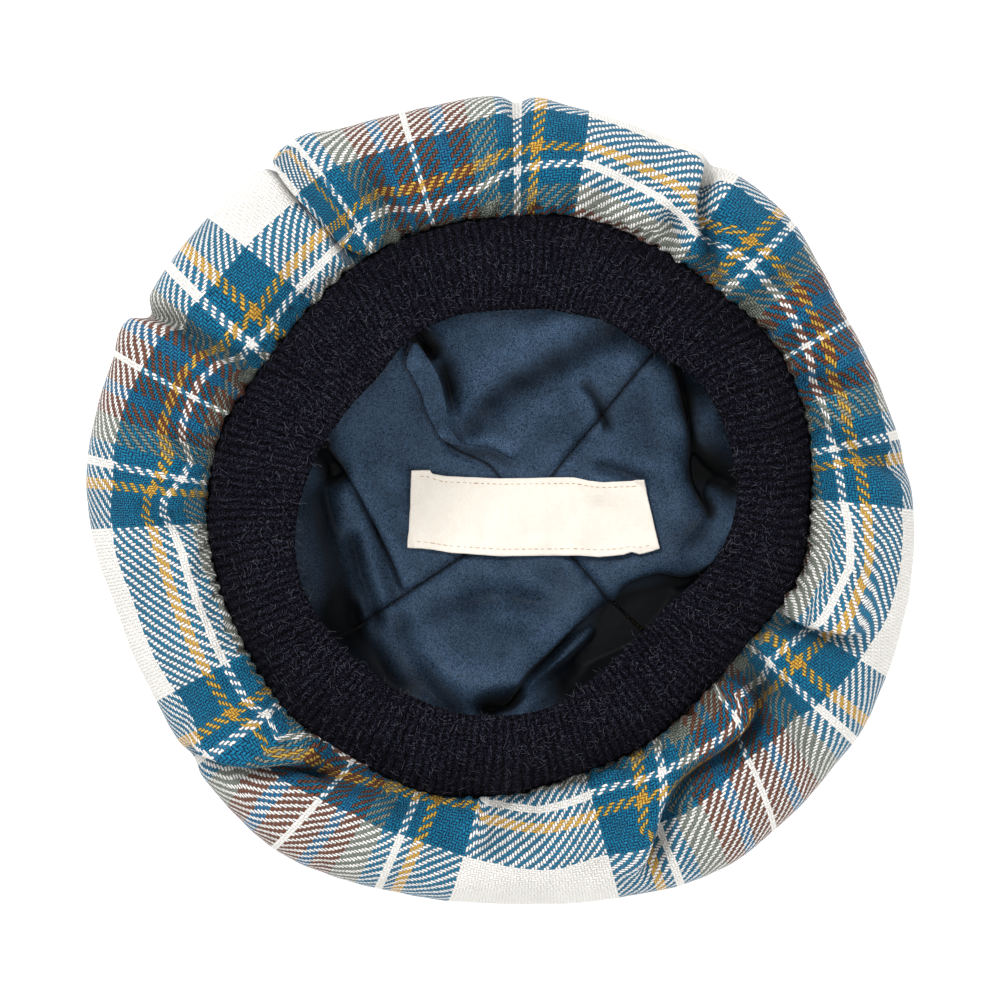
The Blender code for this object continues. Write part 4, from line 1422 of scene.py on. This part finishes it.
# %% Seam allowance
ALLOWANCE_SEWN = ((-28.4, 51.2), (-30.8, 45.1), (-28.8, 40.5), (-26.1, 35.3), (-24.6, 30.1), (-22.0, 24.5),
                  (-19.8, 20.9), (-16.4, 18.6))
ALLOWANCE_FREE = ((-27.0, 51.6), (-23.5, 46.4), (-20.9, 41.8), (-19.3, 37.6), (-17.8, 30.4), (-16.9, 25.1),
                  (-14.7, 21.0), (-12.6, 18.2))
ALLOWANCE_STEPS = (90, 14)
ALLOWANCE_LIFT = 1.1
# How far round it each edge feels the satin below, over how many steps its height is evened, and how
# far the free edge may lie below the sewn one.
ALLOWANCE_REACH = 2.0
ALLOWANCE_EVEN = 14
ALLOWANCE_FALL = 2.0
# The flap's rounded back: its height, where in a half wave it starts and how much of one it spans, and
# the share that it loses by the flap's end.
ALLOWANCE_CROWN = 1.1
CROWN_SHARES = (0.15, 0.7)
CROWN_LOSS = 0.6
# The light on the flap, and the unevenness of its height and of its light, as size and height.
FLAP_LIGHT = 1.1
ALLOWANCE_WAVES = ((7.0, 0.2),)
FLAP_LIGHT_WAVES = ((8.0, 0.12),)


def allowance_net():
    """Points of the flap, rows from its sewn edge to its free one, columns from the band inwards."""
    sewn, free = (smooth_rows(line, ALLOWANCE_STEPS[0] + 1) for line in (ALLOWANCE_SEWN, ALLOWANCE_FREE))
    felt = (around(*line.T, ALLOWANCE_REACH).max(axis=0) for line in (sewn, free))
    base = [evened(np.pad(heights, ALLOWANCE_EVEN, "edge"), ALLOWANCE_EVEN) for heights in felt]
    across = np.linspace(0.0, 1.0, ALLOWANCE_STEPS[1] + 1)[:, None]
    along = np.linspace(0.0, 1.0, ALLOWANCE_STEPS[0] + 1)[None, :]
    x, y = sewn.T[:, None] * (1.0 - across) + free.T[:, None] * across
    start, span = CROWN_SHARES
    crown = ALLOWANCE_CROWN * np.sin(math.pi * (start + span * across)) * (1.0 - CROWN_LOSS * along)
    base[1] = np.maximum(base[1], base[0] - ALLOWANCE_FALL)
    height = base[0] * (1.0 - across) + base[1] * across + crown + uneven(x, y, ALLOWANCE_WAVES, seed=33)
    return np.stack([x, y, height + ALLOWANCE_LIFT], axis=-1)


flap_points = allowance_net()
flap_light = FLAP_LIGHT + uneven(*np.moveaxis(flap_points[..., :2], -1, 0), FLAP_LIGHT_WAVES, seed=34)
flap = sheet_piece("seam_allowance", flap_points, satin, upwards, flap_points[..., :2], SATIN_WALL,
                   flap_light)

# %% Loops of thread along the flap
LOOPS = 46
LOOP_POINTS = 6
LOOP_RADIUS = 0.09
LOOP_WIDTH = 0.55
LOOP_RISE = 0.3
# How far loops reach, and the mean and spread of their headings in radians.
LOOP_REACHES = (0.5, 1.5)
LOOP_HEADINGS = (2.6, 0.5)
# Steps of the flap's net that are left without loops at each end.
LOOPS_INSET = 2
THREAD_TWIST = 900.0


def make_loops():
    """Small loops of thread along the flap's sewn edge."""
    chance = np.random.default_rng(41)
    strands = []
    places = np.linspace(LOOPS_INSET, ALLOWANCE_STEPS[0] - LOOPS_INSET, LOOPS).astype(int)
    for x, y, z in flap_points[0, places]:
        reach, heading = chance.uniform(*LOOP_REACHES), chance.normal(*LOOP_HEADINGS)
        steps = np.linspace(0.0, math.pi, LOOP_POINTS)
        out, beside = reach * np.sin(steps), LOOP_WIDTH * np.cos(steps)
        strands.append(np.stack([x + out * math.cos(heading) - beside * math.sin(heading),
                                 y + out * math.sin(heading) + beside * math.cos(heading),
                                 z + LOOP_RISE * np.sin(steps)], axis=-1))
    thread = two_tones("navy_thread", THREAD_TWIST, dyed(12, 16, 24), dyed(60, 72, 92), Roughness=0.6)
    return strands_piece("seam_threads", strands, LOOP_RADIUS, thread)


loops = make_loops()
print("loops of thread:", LOOPS)
for piece in (flap, loops):
    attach(piece, "root")
flap_size = [round(float(lengths_along(flap_points, axis).max()), 1) for axis in (0, 1)]
print("seam allowance at its widest and longest:", flap_size, "mm")

# %% [markdown]
# ## The label
#
# A bare cream tape is stitched to the lining below the centre. It is a woven tape, so it lies flatter
# than the satin, but its long edges wave, the upper one stepping in at the left where a corner is
# folded, and it ripples once. It follows the highest satin near each place. In its finish the ribs and
# picks of the weave show only just, under a cream that is soiled a little and uneven where its yarns are
# thicker.

# %% The label's shape
LABEL_LOWER_EDGE = np.array((
    (-30.6, -15.8), (-23.0, -16.4), (-16.4, -17.5), (0.0, -18.6), (26.3, -18.4), (32.9, -18.8),
    (41.0, -18.1), (43.6, -17.2), (46.1, -18.0), (52.9, -16.2)))
LABEL_UPPER_EDGE = np.array((
    (-29.3, 9.7), (-23.3, 9.9), (-22.6, 8.7), (-18.1, 7.9), (0.0, 7.2), (24.7, 7.5), (29.6, 6.4),
    (34.5, 5.9), (47.6, 6.5)))
LABEL_STEPS = (168, 48)
LABEL_WALL = 0.6
LABEL_LIFT = 0.5
# The tape's one ripple: its place along X, its width, its height and its slant.
RIPPLE = (29.6, 5.0, 0.8, 0.25)
FEEL_REACH = 4.0


def label_plan(across, upward):
    """Plan points of the tape, between its lower edge and its upper one."""
    low, high = (np.stack([
        np.interp(across, (edge[:, 0] - edge[0, 0]) / (edge[-1, 0] - edge[0, 0]), column)
        for column in edge.T], axis=-1) for edge in (LABEL_LOWER_EDGE, LABEL_UPPER_EDGE))
    return low + (high - low) * upward[..., None]


def label_net(across, upward):
    """Points of the tape's face, over the highest satin near each."""
    plan = label_plan(across, upward)
    x, y = plan[..., 0], plan[..., 1]
    felt = np.maximum(around(x, y, FEEL_REACH).max(axis=0), lining_height(x, y))
    centre, width, rise, slant = RIPPLE
    height = felt + LABEL_LIFT + LABEL_WALL + rise * bell(x - centre - slant * y, width)
    return np.stack([x, y, height], axis=-1)


label_run = np.hypot(*np.diff(LABEL_LOWER_EDGE, axis=0).T).sum()
print("the label's lower edge, end to end:", round(float(label_run), 1), "mm")

# %% Tape finish and the label as a piece
TAPE_RIB = 0.55
TAPE_PICK = 0.42
WEAVE_SHARE = 0.9
# The noises on the tape: fineness per mm, detail and roughness. A slub is also longer than wide.
TAPE_SOIL = (0.35, 3.0)
TAPE_SLUB = (1.0, 2.0, 0.7)
TAPE_STRETCH = (1.2, 3.4)
# How bright the cream is, and how much the weave and the slubs add.
TAPE_SHADES = (0.80, 0.10, 0.25)
SOIL_RELIEF = 0.4
TAPE_DEPTH = 0.12


def make_tape():
    tape = Finish("label_tape", Roughness=0.75, Sheen_Weight=0.1)
    place = tape.cloth_place()
    along, across, _ = tape.split(place)
    rib = abs((along / TAPE_RIB) % 1.0 - 0.5)
    pick = abs((across / TAPE_PICK) % 1.0 - 0.5)
    weave = (rib + pick) * WEAVE_SHARE
    soil = tape.noise(place, *TAPE_SOIL)
    slub = tape.noise(tape.vector(along * TAPE_STRETCH[0], across * TAPE_STRETCH[1]), *TAPE_SLUB)
    always, by_weave, by_slub = TAPE_SHADES
    cream = tape.mix(soil, dyed(249, 242, 232), dyed(241, 231, 216))
    tape.colour(tape.shade(cream, always + by_weave * weave + by_slub * slub))
    tape.relief(weave + SOIL_RELIEF * soil, TAPE_DEPTH)
    return tape


tape = make_tape()
label_across, label_upward = np.meshgrid(np.linspace(0.0, 1.0, LABEL_STEPS[0] + 1),
                                         np.linspace(0.0, 1.0, LABEL_STEPS[1] + 1))
label_points = label_net(label_across, label_upward)
label = sheet_piece("label_tape", label_points, tape, upwards, label_points[..., :2], LABEL_WALL)
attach(label, "root")
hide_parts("label")

# %% [markdown]
# ## Stitches of the label
#
# A tan thread runs just inside the tape's long edges. Each stitch is a short rounded bar, half sunk in
# the tape. It is a ball with six sides, stretched from one end of the stitch to the other, and all of
# them go into one mesh. No two stitches are quite alike, so seeded chance varies their ends, thickness
# and length.

# %% Label stitches
# The rows as shares of the tape's width, and where they start and end as shares of its length.
STITCH_ROWS = (0.085, 0.925)
STITCH_SPAN = (0.03, 0.97)
STITCH_JITTER = 0.002
STITCHES = 36
STITCH_SIDES = 6
STITCH_RADII = (0.10, 0.18)
STITCH_SHARES = (0.45, 0.85)


def make_stitches():
    chance = np.random.default_rng(51)
    rows = bmesh.new()
    for upward in STITCH_ROWS:
        ends = np.linspace(*STITCH_SPAN, STITCHES + 1) + chance.normal(0.0, STITCH_JITTER, STITCHES + 1)
        start = label_net(ends[:-1], np.full(STITCHES, upward))
        stop = label_net(ends[1:], np.full(STITCHES, upward))
        for first, last in zip(start, stop):
            run = Vector((last - first) * MM)
            middle = Vector((first + last) * 0.5 * MM)
            turn = run.to_track_quat("Z", "Y").to_matrix().to_4x4()
            thick = chance.uniform(*STITCH_RADII) * MM
            size = Matrix.Diagonal((thick, thick, 0.5 * run.length * chance.uniform(*STITCH_SHARES), 1.0))
            bar = bmesh.ops.create_uvsphere(rows, u_segments=STITCH_SIDES, v_segments=STITCH_SIDES,
                                            radius=1.0)
            bmesh.ops.transform(rows, matrix=Matrix.Translation(middle) @ turn @ size, verts=bar["verts"])
    thread = two_tones("tan_thread", THREAD_TWIST, dyed(150, 112, 72), dyed(206, 168, 120), Roughness=0.7)
    mesh = mesh_from("label_stitches", rows, thread)
    mesh.shade_smooth()
    return placed("label_stitches", mesh)


stitches = make_stitches()
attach(stitches, "root")
print("label stitches:", 2 * STITCHES)

# %% [markdown]
# ## The end
